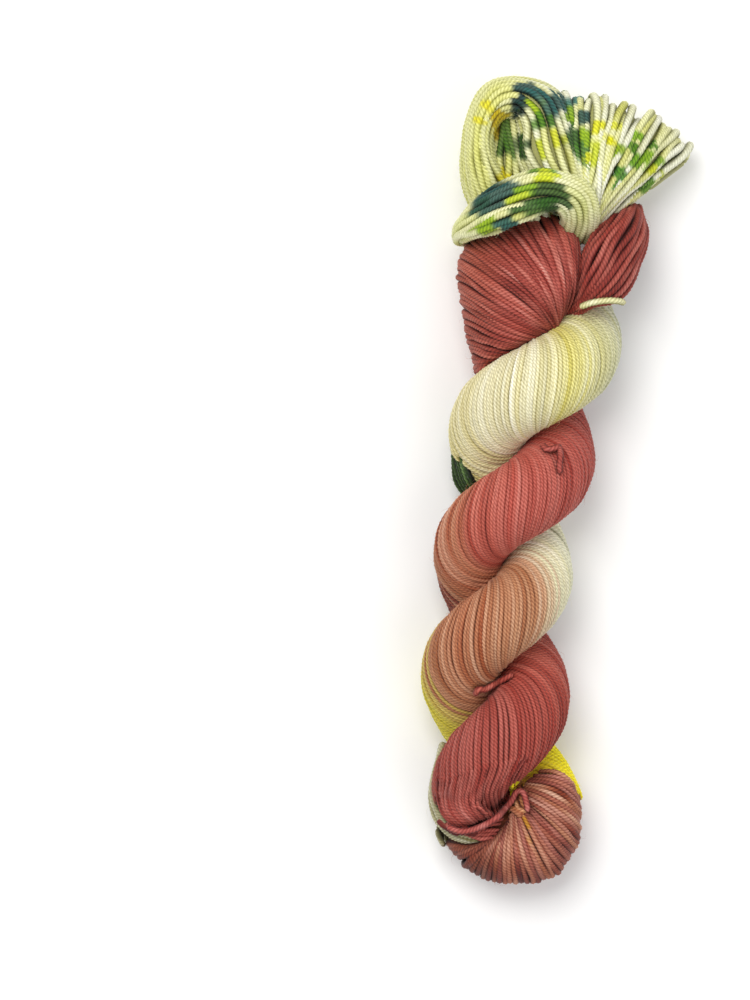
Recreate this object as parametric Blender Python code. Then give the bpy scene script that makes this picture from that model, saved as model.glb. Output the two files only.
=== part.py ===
"""A twisted hank of hand-dyed yarn, lying on its back with its head towards +Y.

A skein of yarn is twisted until it folds on itself, and one end is tucked through the other. So the body
is two bundles of yarn, here called the red ply and the cream ply, that wind round each other, joined at
the foot in one fold. At the head the red ply opens into a collar round the cream ply, whose own loops
spread above it as a crown: an arch, a fan and a belt.

One solid holds that whole wound form, flat where it rests on Z = 0. The ties are solids of their own.
"""

import math

import bmesh
import bpy
import numpy as np
from mathutils import Vector
from mathutils.bvhtree import BVHTree

MM = 0.001

# Driving dimensions, in millimetres.
TWIST_PITCH = 76.6  # along the hank, for one turn of a ply round its neighbour
CREAM_FRONT_Y = 30.8  # where the cream ply crosses the front
FOLD_Y = -104.2  # where the two plies turn into the foot
RED_TOP_Y = 62.0
CREAM_TOP_Y = 70.0
STRAND = 2.2  # thickness of one strand of yarn
GAP = 0.3  # kept between two solids

PLY_SIDES = 16
BAND_SIDES = 14
YARN_SIDES_STEP = 2  # bevel resolution of a loose strand
RING_EVERY = 5.2  # length of ply from one ring of points to the next
FOOT_RINGS = 7
FOOT_REACH = 25.0  # length over which a ply thins or thickens towards the foot
RED_FOOT_SWELL, CREAM_FOOT_SWELL = -0.14, 0.05  # share by which its radius changes there
PLY_PRESS = 0.8  # how far the flat inner side of a ply passes the hank's middle line
FOLD_OVERLAP = 20.0  # degrees by which each half of the foot passes the lowest point
SPINE_SAMPLES = 200
HIGH_ABOVE = 200.0  # height from which the hank's surface is looked for under loose yarn
SEARCH_REACH = (0.4, 0.8, 1.2)  # in strand radii, round each point of a loose strand
SEARCH_TURNS = 12
TABLE_REACH, TABLE_DEPTH = 400.0, 50.0

# The hank's middle line from the head down: place, height, how far each ply lies off it, ply radius, and
# the haste, in radians, by which a ply crosses the front sooner than an even helix would.
SPINE = (
    # y, x, z, offset, radius, haste
    (75.0, -3.4, 23.0, 10.0, 12.2, 0.45),
    (46.0, -5.6, 22.8, 11.6, 13.5, 0.50),
    (10.0, -9.5, 22.6, 11.3, 13.0, 0.45),
    (-30.0, -12.2, 21.8, 10.7, 12.0, 0.32),
    (-64.0, -11.3, 21.0, 11.0, 12.9, 0.20),
    (FOLD_Y, -4.4, 16.4, 11.8, 13.4, 0.12),
)

# A fan is a lobe whose strands spread from a root, pass over the front, turn at the rim and return behind.
# A row for each strand that guides its shape.
LEFT_LOBE = (
    # root x, root y, midway x, midway y, rim x, rim y, root z, top z, rim z, low z
    (-22.0, 34.0, -24.5, 31.5, -25.5, 28.0, 22.0, 24.0, 15.0, 3.0),
    (-19.0, 37.5, -24.2, 36.2, -27.4, 36.0, 26.0, 30.0, 16.0, 1.0),
    (-15.6, 40.2, -21.6, 39.5, -29.4, 41.5, 29.0, 35.0, 18.0, 0.0),
    (-11.8, 43.0, -20.0, 42.6, -31.2, 46.5, 31.0, 39.5, 19.0, -1.0),
    (-7.8, 46.0, -19.0, 47.0, -32.6, 53.5, 33.0, 43.0, 20.0, -1.5),
    (-5.2, 48.0, -18.6, 54.0, -35.4, 64.0, 34.5, 45.5, 21.0, -1.5),
    (-3.8, 50.0, -15.8, 60.0, -34.6, 71.5, 35.5, 47.0, 22.0, -1.0),
    (-2.6, 51.5, -11.9, 64.0, -28.8, 78.5, 36.0, 48.0, 23.0, -0.5),
    (-1.4, 53.2, -7.0, 67.5, -20.0, 84.5, 36.0, 48.0, 24.0, 0.5),
    (0.0, 55.6, -1.9, 69.5, -11.5, 87.0, 36.0, 47.0, 25.0, 2.0),
    (1.6, 58.0, 1.8, 71.5, -3.5, 85.5, 35.0, 44.0, 26.0, 4.0),
    (2.6, 60.5, 3.6, 72.0, 2.5, 82.0, 33.0, 37.0, 27.0, 8.0),
)
FAN = (
    (1.0, 96.0, -6.5, 110.2, -14.0, 124.5, 34.0, 38.0, 22.0, 4.0),
    (2.5, 92.0, -2.5, 109.2, -7.5, 126.3, 35.0, 41.0, 23.0, 1.0),
    (4.0, 89.0, 3.5, 107.5, 3.0, 126.0, 35.0, 42.0, 23.0, -1.0),
    (5.5, 87.0, 8.8, 105.8, 12.0, 124.6, 35.0, 41.0, 21.0, -1.5),
    (7.0, 86.0, 13.5, 104.2, 20.0, 122.4, 34.0, 38.0, 18.0, -1.5),
    (8.5, 85.5, 18.0, 102.4, 27.5, 119.3, 32.0, 34.0, 14.0, -1.0),
    (10.0, 85.5, 22.0, 100.9, 34.0, 116.3, 30.0, 29.0, 11.0, -0.5),
    (12.0, 86.0, 25.1, 99.8, 38.2, 113.6, 27.0, 24.0, 9.0, 1.0),
    (14.5, 87.5, 25.0, 98.0, 35.5, 108.5, 23.0, 20.0, 9.0, 3.0),
)
FOOT_FRONT = (
    (7.3, -90.8, 13.9, -92.4, 18.4, -96.9, 28.0, 32.0, 16.0, 3.0),
    (5.3, -93.9, 14.1, -95.6, 20.2, -101.5, 28.5, 33.0, 15.0, 2.0),
    (3.7, -97.2, 13.3, -100.2, 20.9, -106.3, 28.5, 33.0, 15.0, 2.0),
    (2.7, -100.5, 12.8, -105.7, 20.8, -112.4, 28.0, 32.5, 15.0, 2.0),
    (2.0, -103.8, 11.1, -111.7, 18.5, -118.8, 27.5, 32.0, 15.0, 2.0),
    (0.9, -105.9, 7.7, -116.5, 14.3, -125.3, 27.0, 31.5, 15.0, 2.0),
    (-0.6, -107.6, 3.4, -118.9, 8.1, -128.3, 27.0, 31.5, 15.0, 2.0),
    (-2.1, -108.7, -0.5, -119.2, 1.8, -129.2, 27.0, 31.5, 15.0, 2.0),
    (-3.6, -109.8, -4.3, -119.6, -3.5, -129.2, 27.0, 31.5, 15.0, 2.0),
    (-4.7, -111.2, -8.4, -120.0, -9.8, -128.2, 27.0, 31.0, 15.0, 2.0),
    (-5.9, -112.6, -12.4, -120.0, -15.8, -125.2, 26.5, 30.0, 15.0, 2.0),
    (-7.1, -114.0, -15.0, -118.6, -20.2, -121.0, 26.0, 28.5, 14.0, 3.0),
    (-8.2, -115.2, -16.4, -117.2, -22.4, -117.4, 24.0, 25.5, 13.0, 5.0),
)
RED_HEEL = (
    (-4.1, -107.9, -12.8, -104.2, -27.1, -94.6, 29.0, 39.5, 18.0, 5.0),
    (-4.9, -109.0, -14.9, -106.3, -27.8, -98.5, 28.5, 38.0, 18.0, 5.0),
    (-5.5, -109.7, -16.6, -108.1, -27.9, -102.4, 28.0, 36.5, 17.0, 5.0),
    (-6.1, -110.6, -18.1, -109.8, -27.4, -105.8, 27.5, 35.0, 17.0, 5.0),
    (-6.6, -111.6, -18.4, -111.5, -25.6, -109.0, 27.0, 33.5, 17.0, 5.0),
    (-7.0, -113.0, -16.8, -113.2, -22.8, -111.4, 26.5, 32.0, 18.0, 6.0),
    (-7.4, -114.4, -13.8, -114.8, -18.8, -113.4, 26.0, 30.5, 19.0, 8.0),
    (-7.9, -115.4, -10.8, -115.8, -14.2, -115.0, 25.5, 28.5, 21.0, 12.0),
)

# A band is a bundle whose strands run along it: a row for each section, by its two edges and its thickness.
COLLAR_BACK = (
    # edge 1 x, y, z, edge 2 x, y, z, thickness
    (0.0, 57.0, 27.0, 3.0, 53.0, 26.0, 6.0),
    (2.6, 62.5, 34.5, 8.6, 59.4, 29.0, 11.0),
    (4.4, 70.5, 38.0, 16.6, 61.6, 28.0, 16.0),
    (7.4, 78.5, 37.0, 19.8, 69.6, 23.0, 17.0),
    (12.0, 85.5, 32.5, 20.6, 79.0, 17.0, 16.0),
    (15.5, 91.0, 22.0, 17.8, 86.5, 11.0, 12.0),
    (15.0, 93.5, 9.0, 13.5, 82.0, 8.0, 13.0),
    (2.0, 94.0, 8.5, 0.0, 78.0, 8.0, 14.0),
    (-13.0, 91.0, 8.5, -13.0, 74.0, 8.0, 15.0),
    (-26.0, 83.0, 9.0, -22.0, 68.0, 9.0, 13.0),
)
NECK = (
    (-13.0, 66.0, 12.0, 8.0, 66.0, 14.0, 22.0),
    (-9.0, 78.0, 20.0, 12.0, 76.0, 20.0, 18.0),
    (-5.0, 88.0, 27.0, 13.0, 84.0, 26.0, 16.0),
    (-2.0, 97.0, 27.0, 14.0, 93.0, 25.0, 18.0),
)
ARCH = (
    (-31.0, 82.0, 23.0, -16.0, 88.0, 23.0, 30.0),
    (-36.2, 93.0, 23.0, -21.0, 96.0, 23.0, 36.0),
    (-37.6, 104.0, 23.0, -26.0, 104.0, 23.0, 38.0),
    (-36.6, 116.5, 23.0, -26.0, 111.0, 23.0, 38.0),
    (-30.5, 127.2, 23.0, -23.5, 114.0, 23.0, 38.0),
    (-18.5, 129.27, 23.0, -20.5, 114.0, 23.0, 38.0),
    (-7.0, 124.5, 24.0, -19.5, 109.0, 24.0, 38.0),
    (-0.5, 112.5, 25.0, -20.0, 101.5, 25.0, 36.0),
    (3.5, 100.0, 26.0, -15.5, 94.0, 26.0, 32.0),
    (6.0, 91.0, 27.0, -8.0, 87.0, 27.0, 24.0),
)
ARCH_FILL = (
    (-30.0, 113.0, 20.0, -18.0, 117.0, 20.0, 26.0),
    (-30.0, 103.0, 20.0, -12.0, 106.0, 21.0, 30.0),
    (-29.0, 92.0, 20.0, -8.0, 95.0, 21.0, 30.0),
    (-24.0, 82.0, 20.0, -4.0, 84.0, 21.0, 28.0),
)
BELT = (
    (8.0, 80.0, 25.0, -5.0, 80.0, 26.0, 8.0),
    (8.0, 88.5, 37.0, -4.5, 84.5, 38.0, 8.0),
    (4.0, 95.8, 42.0, -6.0, 86.0, 43.5, 8.0),
    (-4.0, 99.0, 44.5, -9.0, 85.5, 46.5, 8.0),
    (-13.5, 99.3, 44.5, -14.0, 83.0, 48.0, 8.5),
    (-24.0, 94.0, 41.0, -21.0, 79.5, 47.0, 8.5),
    (-32.0, 87.0, 33.0, -29.0, 76.0, 41.0, 8.0),
    (-35.4, 80.5, 23.0, -34.4, 74.5, 30.0, 6.5),
    (-33.2, 81.0, 12.0, -32.2, 74.0, 16.0, 6.0),
    (-25.0, 86.0, 6.0, -24.0, 76.0, 8.0, 6.0),
)

# Loose yarn that lies on the hank: points of each route, seen from above.
LOWER_TIE = (
    # x, y, lift above the hank
    (-22.4, -112.0, 0.0),
    (-18.8, -112.9, 0.0),
    (-15.0, -112.3, 0.0),
    (-11.2, -110.4, 0.0),
    (-7.6, -107.7, 0.0),
    (-4.6, -104.9, 0.0),
    (-2.5, -101.7, 0.2),
    (-1.3, -98.8, 1.2),
    (0.7, -98.8, 1.0),
    (1.9, -101.6, 0.2),
    (2.8, -104.8, 0.0),
)
MIDDLE_TIE = (
    (-17.5, -69.0, 0.2),
    (-16.6, -67.2, 1.0),
    (-14.4, -67.0, 0.6),
    (-12.0, -65.4, 0.0),
    (-9.0, -63.4, 0.0),
    (-6.0, -61.4, 0.0),
)
UPPER_TIE = (
    (-3.8, 12.6, 0.2),
    (-2.0, 11.0, 0.4),
    (0.2, 11.4, 0.8),
    (1.8, 12.0, 0.8),
    (2.5, 9.6, 0.2),
    (2.4, 6.8, 0.0),
    (2.7, 3.6, 0.0),
)
LOOSE_END = (
    (4.5, 57.0, 0.6),
    (8.0, 58.6, 0.6),
    (12.0, 59.6, 0.6),
    (16.0, 60.0, 0.8),
    (19.0, 59.8, 1.0),
)

# name, colour, roughness, metallic value
DYES = {
    "hank": ((0.62, 0.36, 0.26), 0.9, 0.0),
    "tie": ((0.42, 0.13, 0.11), 0.9, 0.0),
    "loose": ((0.80, 0.78, 0.56), 0.9, 0.0),
}


def through(rows, count):
    """`count` rows on smooth cubics through the table's rows, each column on its own."""
    rows = np.array(rows, float)
    slopes = np.gradient(rows, axis=0)
    place = np.linspace(0.0, len(rows) - 1.0, count)
    low = np.minimum(place.astype(int), len(rows) - 2)
    t = (place - low)[:, None]
    a, b, da, db = rows[low], rows[low + 1], slopes[low], slopes[low + 1]
    return (
        a * (2 * t**3 - 3 * t**2 + 1)
        + da * (t**3 - 2 * t**2 + t)
        + b * (3 * t**2 - 2 * t**3)
        + db * (t**3 - t**2)
    )


def unit(vectors):
    return vectors / np.linalg.norm(vectors, axis=-1, keepdims=True)


def sections(middle, across, deep, sides, fullness=1.0):
    """Rings of points round a middle line: cos along `across`, sin along `deep`.

    Each is raised to the power `fullness`, and one below 1 squares the rings up.
    """
    turn = np.linspace(0.0, 2 * math.pi, sides, endpoint=False)
    wide = np.sign(np.cos(turn)) * np.abs(np.cos(turn)) ** fullness
    high = np.sign(np.sin(turn)) * np.abs(np.sin(turn)) ** fullness
    return (
        middle[:, None, :]
        + across[:, None, :] * wide[None, :, None]
        + deep[:, None, :] * high[None, :, None]
    )


def spine_at(y):
    """The spine's columns at each height y, on smooth cubics."""
    fine = through(SPINE, SPINE_SAMPLES)[::-1]
    return [np.interp(y, fine[:, 0], fine[:, column]) for column in range(1, 6)]


def ply_rings(top_y, start_turn, foot_swell):
    """Rings of points of one ply, from its top down its helix and round the foot.

    Each ring starts at its outermost point. On the inner side, what would reach past the hank's middle line
    is pushed flat against it, as the two plies press on each other.
    """
    turn_length = math.hypot(TWIST_PITCH, 2 * math.pi * SPINE[1][3])
    count = int((top_y - FOLD_Y) / TWIST_PITCH * turn_length / RING_EVERY)
    y = np.linspace(top_y, FOLD_Y, count)
    x, z, offset, radius, haste = spine_at(y)
    even_turn = start_turn - 2 * math.pi * (y - CREAM_FRONT_Y) / TWIST_PITCH
    turn = even_turn - haste * np.cos(even_turn)
    radius = radius * (1 + foot_swell * np.clip(1 - (y - FOLD_Y) / FOOT_REACH, 0.0, 1.0) ** 2)
    out = np.stack([np.cos(turn), np.zeros(count), np.sin(turn)], axis=1)
    middle = np.stack([x, y, z], axis=1) + out * offset[:, None]

    sweep = np.linspace(0.0, math.radians(90.0 + FOLD_OVERLAP), FOOT_RINGS)[1:, None]
    foot_out = np.cos(sweep) * out[-1] + np.sin(sweep) * np.array([0.0, -1.0, 0.0])
    foot = np.array([x[-1], FOLD_Y, z[-1]]) + foot_out * offset[-1]

    middle = np.vstack([middle, foot])
    out = np.vstack([out, foot_out])
    foot_radius = radius[-1] * (1 - foot_swell / (1 + foot_swell) * np.sin(sweep[:, 0]))
    radius = np.append(radius, foot_radius)[:, None]
    along = unit(np.gradient(middle, axis=0))
    side = unit(np.cross(along, out))
    rings = sections(middle, out * radius, side * radius, PLY_SIDES)

    inwards = -np.sum((rings - middle[:, None, :]) * out[:, None, :], axis=2)
    limit = np.append(offset + PLY_PRESS, np.full(len(foot), offset[-1] - PLY_PRESS))
    excess = np.maximum(0.0, inwards - limit[:, None])
    return rings + excess[..., None] * out[:, None, :]


def band_rings(rows, count):
    """A bundle of strands that run side by side along it, from a table of its edges and thickness."""
    rows = through(rows, count)
    first, second, thick = rows[:, 0:3], rows[:, 3:6], rows[:, 6:7]
    middle = (first + second) / 2
    across = (second - first) / 2
    face = unit(np.cross(np.gradient(middle, axis=0), across))
    return sections(middle, across, face * thick / 2, BAND_SIDES, fullness=0.85)


def fan_rings(rows, count, front_steps=7, back_steps=5):
    """A ring of points for each strand of a lobe: root, over the front to the rim, and back behind."""
    rows = through(rows, count)[:, None, :]
    root, midway, rim = rows[..., 0:2], rows[..., 2:4], rows[..., 4:6]
    root_z, top_z, rim_z, low_z = (rows[..., column] for column in range(6, 10))
    front = np.sin(np.linspace(0.0, math.pi / 2, front_steps))[None, :]
    back = np.sin(np.linspace(math.pi / 2, 0.0, back_steps))[None, 1:]
    dip = (top_z - root_z) * (1 - front) ** 3
    front_z = rim_z + (top_z - rim_z) * np.sqrt(1 - front**2) - dip
    back_z = rim_z - (rim_z - low_z) * np.sqrt(1 - back**2)
    reach = np.concatenate([front, back], axis=1)[..., None]
    pull = 2 * midway - (root + rim) / 2
    flat = root * (1 - reach) ** 2 + pull * 2 * reach * (1 - reach) + rim * reach**2
    height = np.concatenate([front_z, back_z], axis=1)[..., None]
    return np.concatenate([flat, height], axis=2)


def material(name):
    colour, roughness, metallic = DYES[name]
    made = bpy.data.materials.new(name)
    made.use_nodes = True
    shader = made.node_tree.nodes["Principled BSDF"]
    shader.inputs["Base Color"].default_value = (*colour, 1.0)
    shader.inputs["Roughness"].default_value = roughness
    shader.inputs["Metallic"].default_value = metallic
    return made


def place(name, mesh_data):
    made = bpy.data.objects.new(name, mesh_data)
    bpy.context.scene.collection.objects.link(made)
    return made


def solid(name, rings):
    """A closed mesh through rings of points in millimetres, with a cap on each end."""
    count, sides, _ = rings.shape
    mesh = bmesh.new()
    points = [[mesh.verts.new(Vector(point) * MM) for point in ring] for ring in rings.tolist()]
    for lower, upper in zip(points, points[1:]):
        for side in range(sides):
            after = (side + 1) % sides
            mesh.faces.new((lower[side], lower[after], upper[after], upper[side]))
    mesh.faces.new(points[0])
    mesh.faces.new(points[-1])
    bmesh.ops.recalc_face_normals(mesh, faces=mesh.faces)
    data = bpy.data.meshes.new(name)
    mesh.to_mesh(data)
    mesh.free()
    return place(name, data)


def helper(made):
    made.hide_render = True
    made.display_type = "WIRE"
    return made


def combine(body, other, operation):
    step = body.modifiers.new(operation.lower() + "_" + other.name, "BOOLEAN")
    step.operation = operation
    step.solver = "MANIFOLD"
    step.object = helper(other)


def table_top():
    """A block whose top is Z = 0: what it cuts off the hank leaves it flat where it rests."""
    reach, depth = TABLE_REACH * MM, TABLE_DEPTH * MM
    mesh = bmesh.new()
    bmesh.ops.create_cube(mesh, size=1.0)
    bmesh.ops.scale(mesh, vec=(reach, reach, depth), verts=mesh.verts)
    bmesh.ops.translate(mesh, vec=(0.0, 0.0, -depth / 2), verts=mesh.verts)
    data = bpy.data.meshes.new("table_top")
    mesh.to_mesh(data)
    mesh.free()
    return place("table_top", data)


def outer_shell(made, name):
    """A new object of the evaluated mesh, without the small voids that are sealed inside it."""
    mesh = bmesh.new()
    mesh.from_object(made, bpy.context.evaluated_depsgraph_get())
    shells, seen = [], set()
    for start in mesh.verts:
        if start in seen:
            continue
        shell, edge_of_search = [], [start]
        seen.add(start)
        while edge_of_search:
            vertex = edge_of_search.pop()
            shell.append(vertex)
            fresh = [edge.other_vert(vertex) for edge in vertex.link_edges]
            fresh = [neighbour for neighbour in fresh if neighbour not in seen]
            seen.update(fresh)
            edge_of_search += fresh
        shells.append(shell)
    shells.sort(key=len)
    for shell in shells[:-1]:
        bmesh.ops.delete(mesh, geom=shell, context="VERTS")
    data = bpy.data.meshes.new(name)
    mesh.to_mesh(data)
    mesh.free()
    return place(name, data)


def make_hank():
    joined = solid("cream_ply", ply_rings(CREAM_TOP_Y, math.pi / 2, CREAM_FOOT_SWELL))
    pieces = {
        "red_ply": ply_rings(RED_TOP_Y, -math.pi / 2, RED_FOOT_SWELL),
        "left_lobe": fan_rings(LEFT_LOBE, 22),
        "collar_back": band_rings(COLLAR_BACK, 26),
        "neck": band_rings(NECK, 6),
        "arch": band_rings(ARCH, 26),
        "arch_fill": band_rings(ARCH_FILL, 6),
        "fan": fan_rings(FAN, 17),
        "belt": band_rings(BELT, 24),
        "foot_front": fan_rings(FOOT_FRONT, 20),
        "red_heel": fan_rings(RED_HEEL, 13),
    }
    for name, rings in pieces.items():
        combine(joined, solid(name, rings), "UNION")
    combine(helper(joined), table_top(), "DIFFERENCE")
    hank = outer_shell(joined, "hank")
    hank.data.materials.append(material("hank"))
    return hank


def lie_on(surface, route, radius):
    """Route points, each high enough that a tube of this radius clears the surface, level past its rim."""
    around = [(0.0, 0.0)]
    for reach in SEARCH_REACH:
        turns = [2 * math.pi * step / SEARCH_TURNS for step in range(SEARCH_TURNS)]
        around += [(reach * math.cos(turn), reach * math.sin(turn)) for turn in turns]
    laid = []
    for x, y, lift in route:
        tops = []
        for dx, dy in around:
            above = Vector((x + dx * radius, y + dy * radius, HIGH_ABOVE)) * MM
            hit = surface.ray_cast(above, Vector((0.0, 0.0, -1.0)))[0]
            if hit is not None:
                drop = radius * (1 - math.sqrt(max(0.0, 1 - dx * dx - dy * dy)))
                tops.append(hit.z / MM - drop)
        height = max(tops) + radius + GAP + lift if tops else laid[-1][2]
        laid.append((x, y, height))
    return laid


def make_yarn_end(name, route, surface, dye, points=24):
    """One strand of yarn as a round tube on a smooth curve through its laid route."""
    radius = STRAND / 2
    fine = through(route, points)
    laid = np.array(lie_on(surface, fine, radius))
    laid[1:-1, 2] = np.maximum(laid[1:-1, 2], (laid[:-2, 2] + laid[2:, 2]) / 2)
    curve = bpy.data.curves.new(name, "CURVE")
    curve.dimensions = "3D"
    curve.bevel_depth = radius * MM
    curve.bevel_resolution = YARN_SIDES_STEP
    curve.use_fill_caps = True
    line = curve.splines.new("POLY")
    line.points.add(len(laid) - 1)
    for point, (x, y, z) in zip(line.points, laid.tolist()):
        point.co = (x * MM, y * MM, z * MM, 1.0)
    curve.materials.append(material(dye))
    return place(name, curve)


def main():
    for old in list(bpy.data.objects):
        bpy.data.objects.remove(old)
    hank = make_hank()
    graph = bpy.context.evaluated_depsgraph_get()
    surface = BVHTree.FromObject(hank, graph)
    make_yarn_end("lower_tie", LOWER_TIE, surface, "tie", points=30)
    make_yarn_end("middle_tie", MIDDLE_TIE, surface, "tie", points=14)
    make_yarn_end("upper_tie", UPPER_TIE, surface, "tie", points=12)
    make_yarn_end("loose_end", LOOSE_END, surface, "loose", points=12)


main()
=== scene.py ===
# %% [markdown]
# # A twisted hank of hand-dyed wool
#
# A hand dyer winds a skein of yarn, dyes it, twists it until it folds on itself, and tucks one end through
# the other. This lesson builds that hank strand by strand round a plain solid of the same size, which is
# loaded first and stays hidden inside the yarn. One strand of yarn could be a bevelled curve, but a curve
# gives a smooth pipe. Here each strand is a surface worked out with numpy, so that the four plies that are
# twisted into the yarn really stand out of it and catch the light.

# %% Load the frame
import collections
import math

import bpy
import numpy as np
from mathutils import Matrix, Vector
from mathutils.bvhtree import BVHTree


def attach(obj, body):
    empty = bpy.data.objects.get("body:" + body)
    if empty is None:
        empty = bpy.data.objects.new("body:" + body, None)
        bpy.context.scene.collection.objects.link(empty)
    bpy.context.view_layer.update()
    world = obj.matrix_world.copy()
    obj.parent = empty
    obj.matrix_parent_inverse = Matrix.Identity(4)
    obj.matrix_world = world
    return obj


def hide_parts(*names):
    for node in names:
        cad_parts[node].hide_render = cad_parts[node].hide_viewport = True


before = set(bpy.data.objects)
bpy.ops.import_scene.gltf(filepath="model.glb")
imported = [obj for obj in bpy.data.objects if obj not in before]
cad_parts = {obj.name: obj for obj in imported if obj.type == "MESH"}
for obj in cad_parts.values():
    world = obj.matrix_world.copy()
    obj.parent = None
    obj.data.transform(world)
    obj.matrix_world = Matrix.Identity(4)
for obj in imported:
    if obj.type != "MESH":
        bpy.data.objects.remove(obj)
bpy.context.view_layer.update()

# %% [markdown]
# ## Camera
#
# The hank lies on a pale surface and is seen from straight above, turned a few degrees, with free space on
# its left. A long lens far away keeps the sides of the hank from leaning outwards.

# %% Camera
MM = 0.001
TURN_OF_VIEW = math.radians(5.2)
VIEW_CENTRE = (-54.9 * MM, -10.05 * MM)
VIEW_HEIGHT = 1.8
SUBJECT_HEIGHT = 22 * MM
LONG_SIDE_SEEN = 321 * MM
SENSOR = 36.0

camera_data = bpy.data.cameras.new("camera")
camera_data.sensor_width = SENSOR
camera_data.lens = SENSOR * (VIEW_HEIGHT - SUBJECT_HEIGHT) / LONG_SIDE_SEEN
camera = bpy.data.objects.new("camera", camera_data)
camera.location = (*VIEW_CENTRE, VIEW_HEIGHT)
camera.rotation_euler = (0.0, 0.0, TURN_OF_VIEW)
bpy.context.scene.collection.objects.link(camera)
bpy.context.scene.camera = camera
bpy.context.scene.view_settings.view_transform = "Standard"
print("lens, mm:", round(camera_data.lens, 1))

# %% [markdown]
# ## Sizes of the yarn and the hank
#
# The yarn is a worsted-weight wool, spun in four plies: 1.8 mm thick where it is pulled tight in the twisted
# body, and about 2.6 mm where it is slack in the loops at the head. The tables below are in millimetres: the
# middle line of the twisted body, the shape of each lobe at the head and the foot, and the routes of the
# loose ends. Most repeat the solid's own tables, so that the yarn lies in the solid's surface. The four
# tables of courses don't: they lead strands over places where the solid has no shape of its own, and at the
# left edges their strands stand up to 5 mm outside it.

# %% Sizes
TIGHT, SLACK, TIE = 1.8, 2.6, 2.2  # thickness of the yarn
PLIES = 4
PLY_TWIST = 5.0  # length of yarn in which a ply goes once round
ROW = 0.72  # length of yarn from one ring of points to the next
GROOVE = 0.15  # depth of the groove between plies, as a share of the yarn's radius
rng = np.random.default_rng(41)

TWIST_PITCH = 76.6
CREAM_FRONT_Y = 30.8
FOLD_Y = -104.2
RED_TOP_Y, CREAM_TOP_Y = 62.0, 70.0
FOOT_REACH = 25.0
RED_FOOT_SWELL, CREAM_FOOT_SWELL = -0.14, 0.05
SPINE = (
    # y, x, z, offset, radius, haste
    (75.0, -3.4, 23.0, 10.0, 12.2, 0.45),
    (46.0, -5.6, 22.8, 11.6, 13.5, 0.50),
    (10.0, -9.5, 22.6, 11.3, 13.0, 0.45),
    (-30.0, -12.2, 21.8, 10.7, 12.0, 0.32),
    (-64.0, -11.3, 21.0, 11.0, 12.9, 0.20),
    (FOLD_Y, -4.4, 16.4, 11.8, 13.4, 0.12),
)
LEFT_LOBE = (
    # root x, root y, midway x, midway y, rim x, rim y, root z, top z, rim z, low z
    (-22.0, 34.0, -24.5, 31.5, -25.5, 28.0, 22.0, 24.0, 15.0, 3.0),
    (-19.0, 37.5, -24.2, 36.2, -27.4, 36.0, 26.0, 30.0, 16.0, 1.0),
    (-15.6, 40.2, -21.6, 39.5, -29.4, 41.5, 29.0, 35.0, 18.0, 0.0),
    (-11.8, 43.0, -20.0, 42.6, -31.2, 46.5, 31.0, 39.5, 19.0, -1.0),
    (-7.8, 46.0, -19.0, 47.0, -32.6, 53.5, 33.0, 43.0, 20.0, -1.5),
    (-5.2, 48.0, -18.6, 54.0, -35.4, 64.0, 34.5, 45.5, 21.0, -1.5),
    (-3.8, 50.0, -15.8, 60.0, -34.6, 71.5, 35.5, 47.0, 22.0, -1.0),
    (-2.6, 51.5, -11.9, 64.0, -28.8, 78.5, 36.0, 48.0, 23.0, -0.5),
    (-1.4, 53.2, -7.0, 67.5, -20.0, 84.5, 36.0, 48.0, 24.0, 0.5),
    (0.0, 55.6, -1.9, 69.5, -11.5, 87.0, 36.0, 47.0, 25.0, 2.0),
    (1.6, 58.0, 1.8, 71.5, -3.5, 85.5, 35.0, 44.0, 26.0, 4.0),
    (2.6, 60.5, 3.6, 72.0, 2.5, 82.0, 33.0, 37.0, 27.0, 8.0),
)
FAN = (
    (1.0, 96.0, -6.5, 110.2, -14.0, 124.5, 34.0, 38.0, 22.0, 4.0),
    (2.5, 92.0, -2.5, 109.2, -7.5, 126.3, 35.0, 41.0, 23.0, 1.0),
    (4.0, 89.0, 3.5, 107.5, 3.0, 126.0, 35.0, 42.0, 23.0, -1.0),
    (5.5, 87.0, 8.8, 105.8, 12.0, 124.6, 35.0, 41.0, 21.0, -1.5),
    (7.0, 86.0, 13.5, 104.2, 20.0, 122.4, 34.0, 38.0, 18.0, -1.5),
    (8.5, 85.5, 18.0, 102.4, 27.5, 119.3, 32.0, 34.0, 14.0, -1.0),
    (10.0, 85.5, 22.0, 100.9, 34.0, 116.3, 30.0, 29.0, 11.0, -0.5),
    (12.0, 86.0, 25.1, 99.8, 38.2, 113.6, 27.0, 24.0, 9.0, 1.0),
    (14.5, 87.5, 25.0, 98.0, 35.5, 108.5, 23.0, 20.0, 9.0, 3.0),
)
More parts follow.
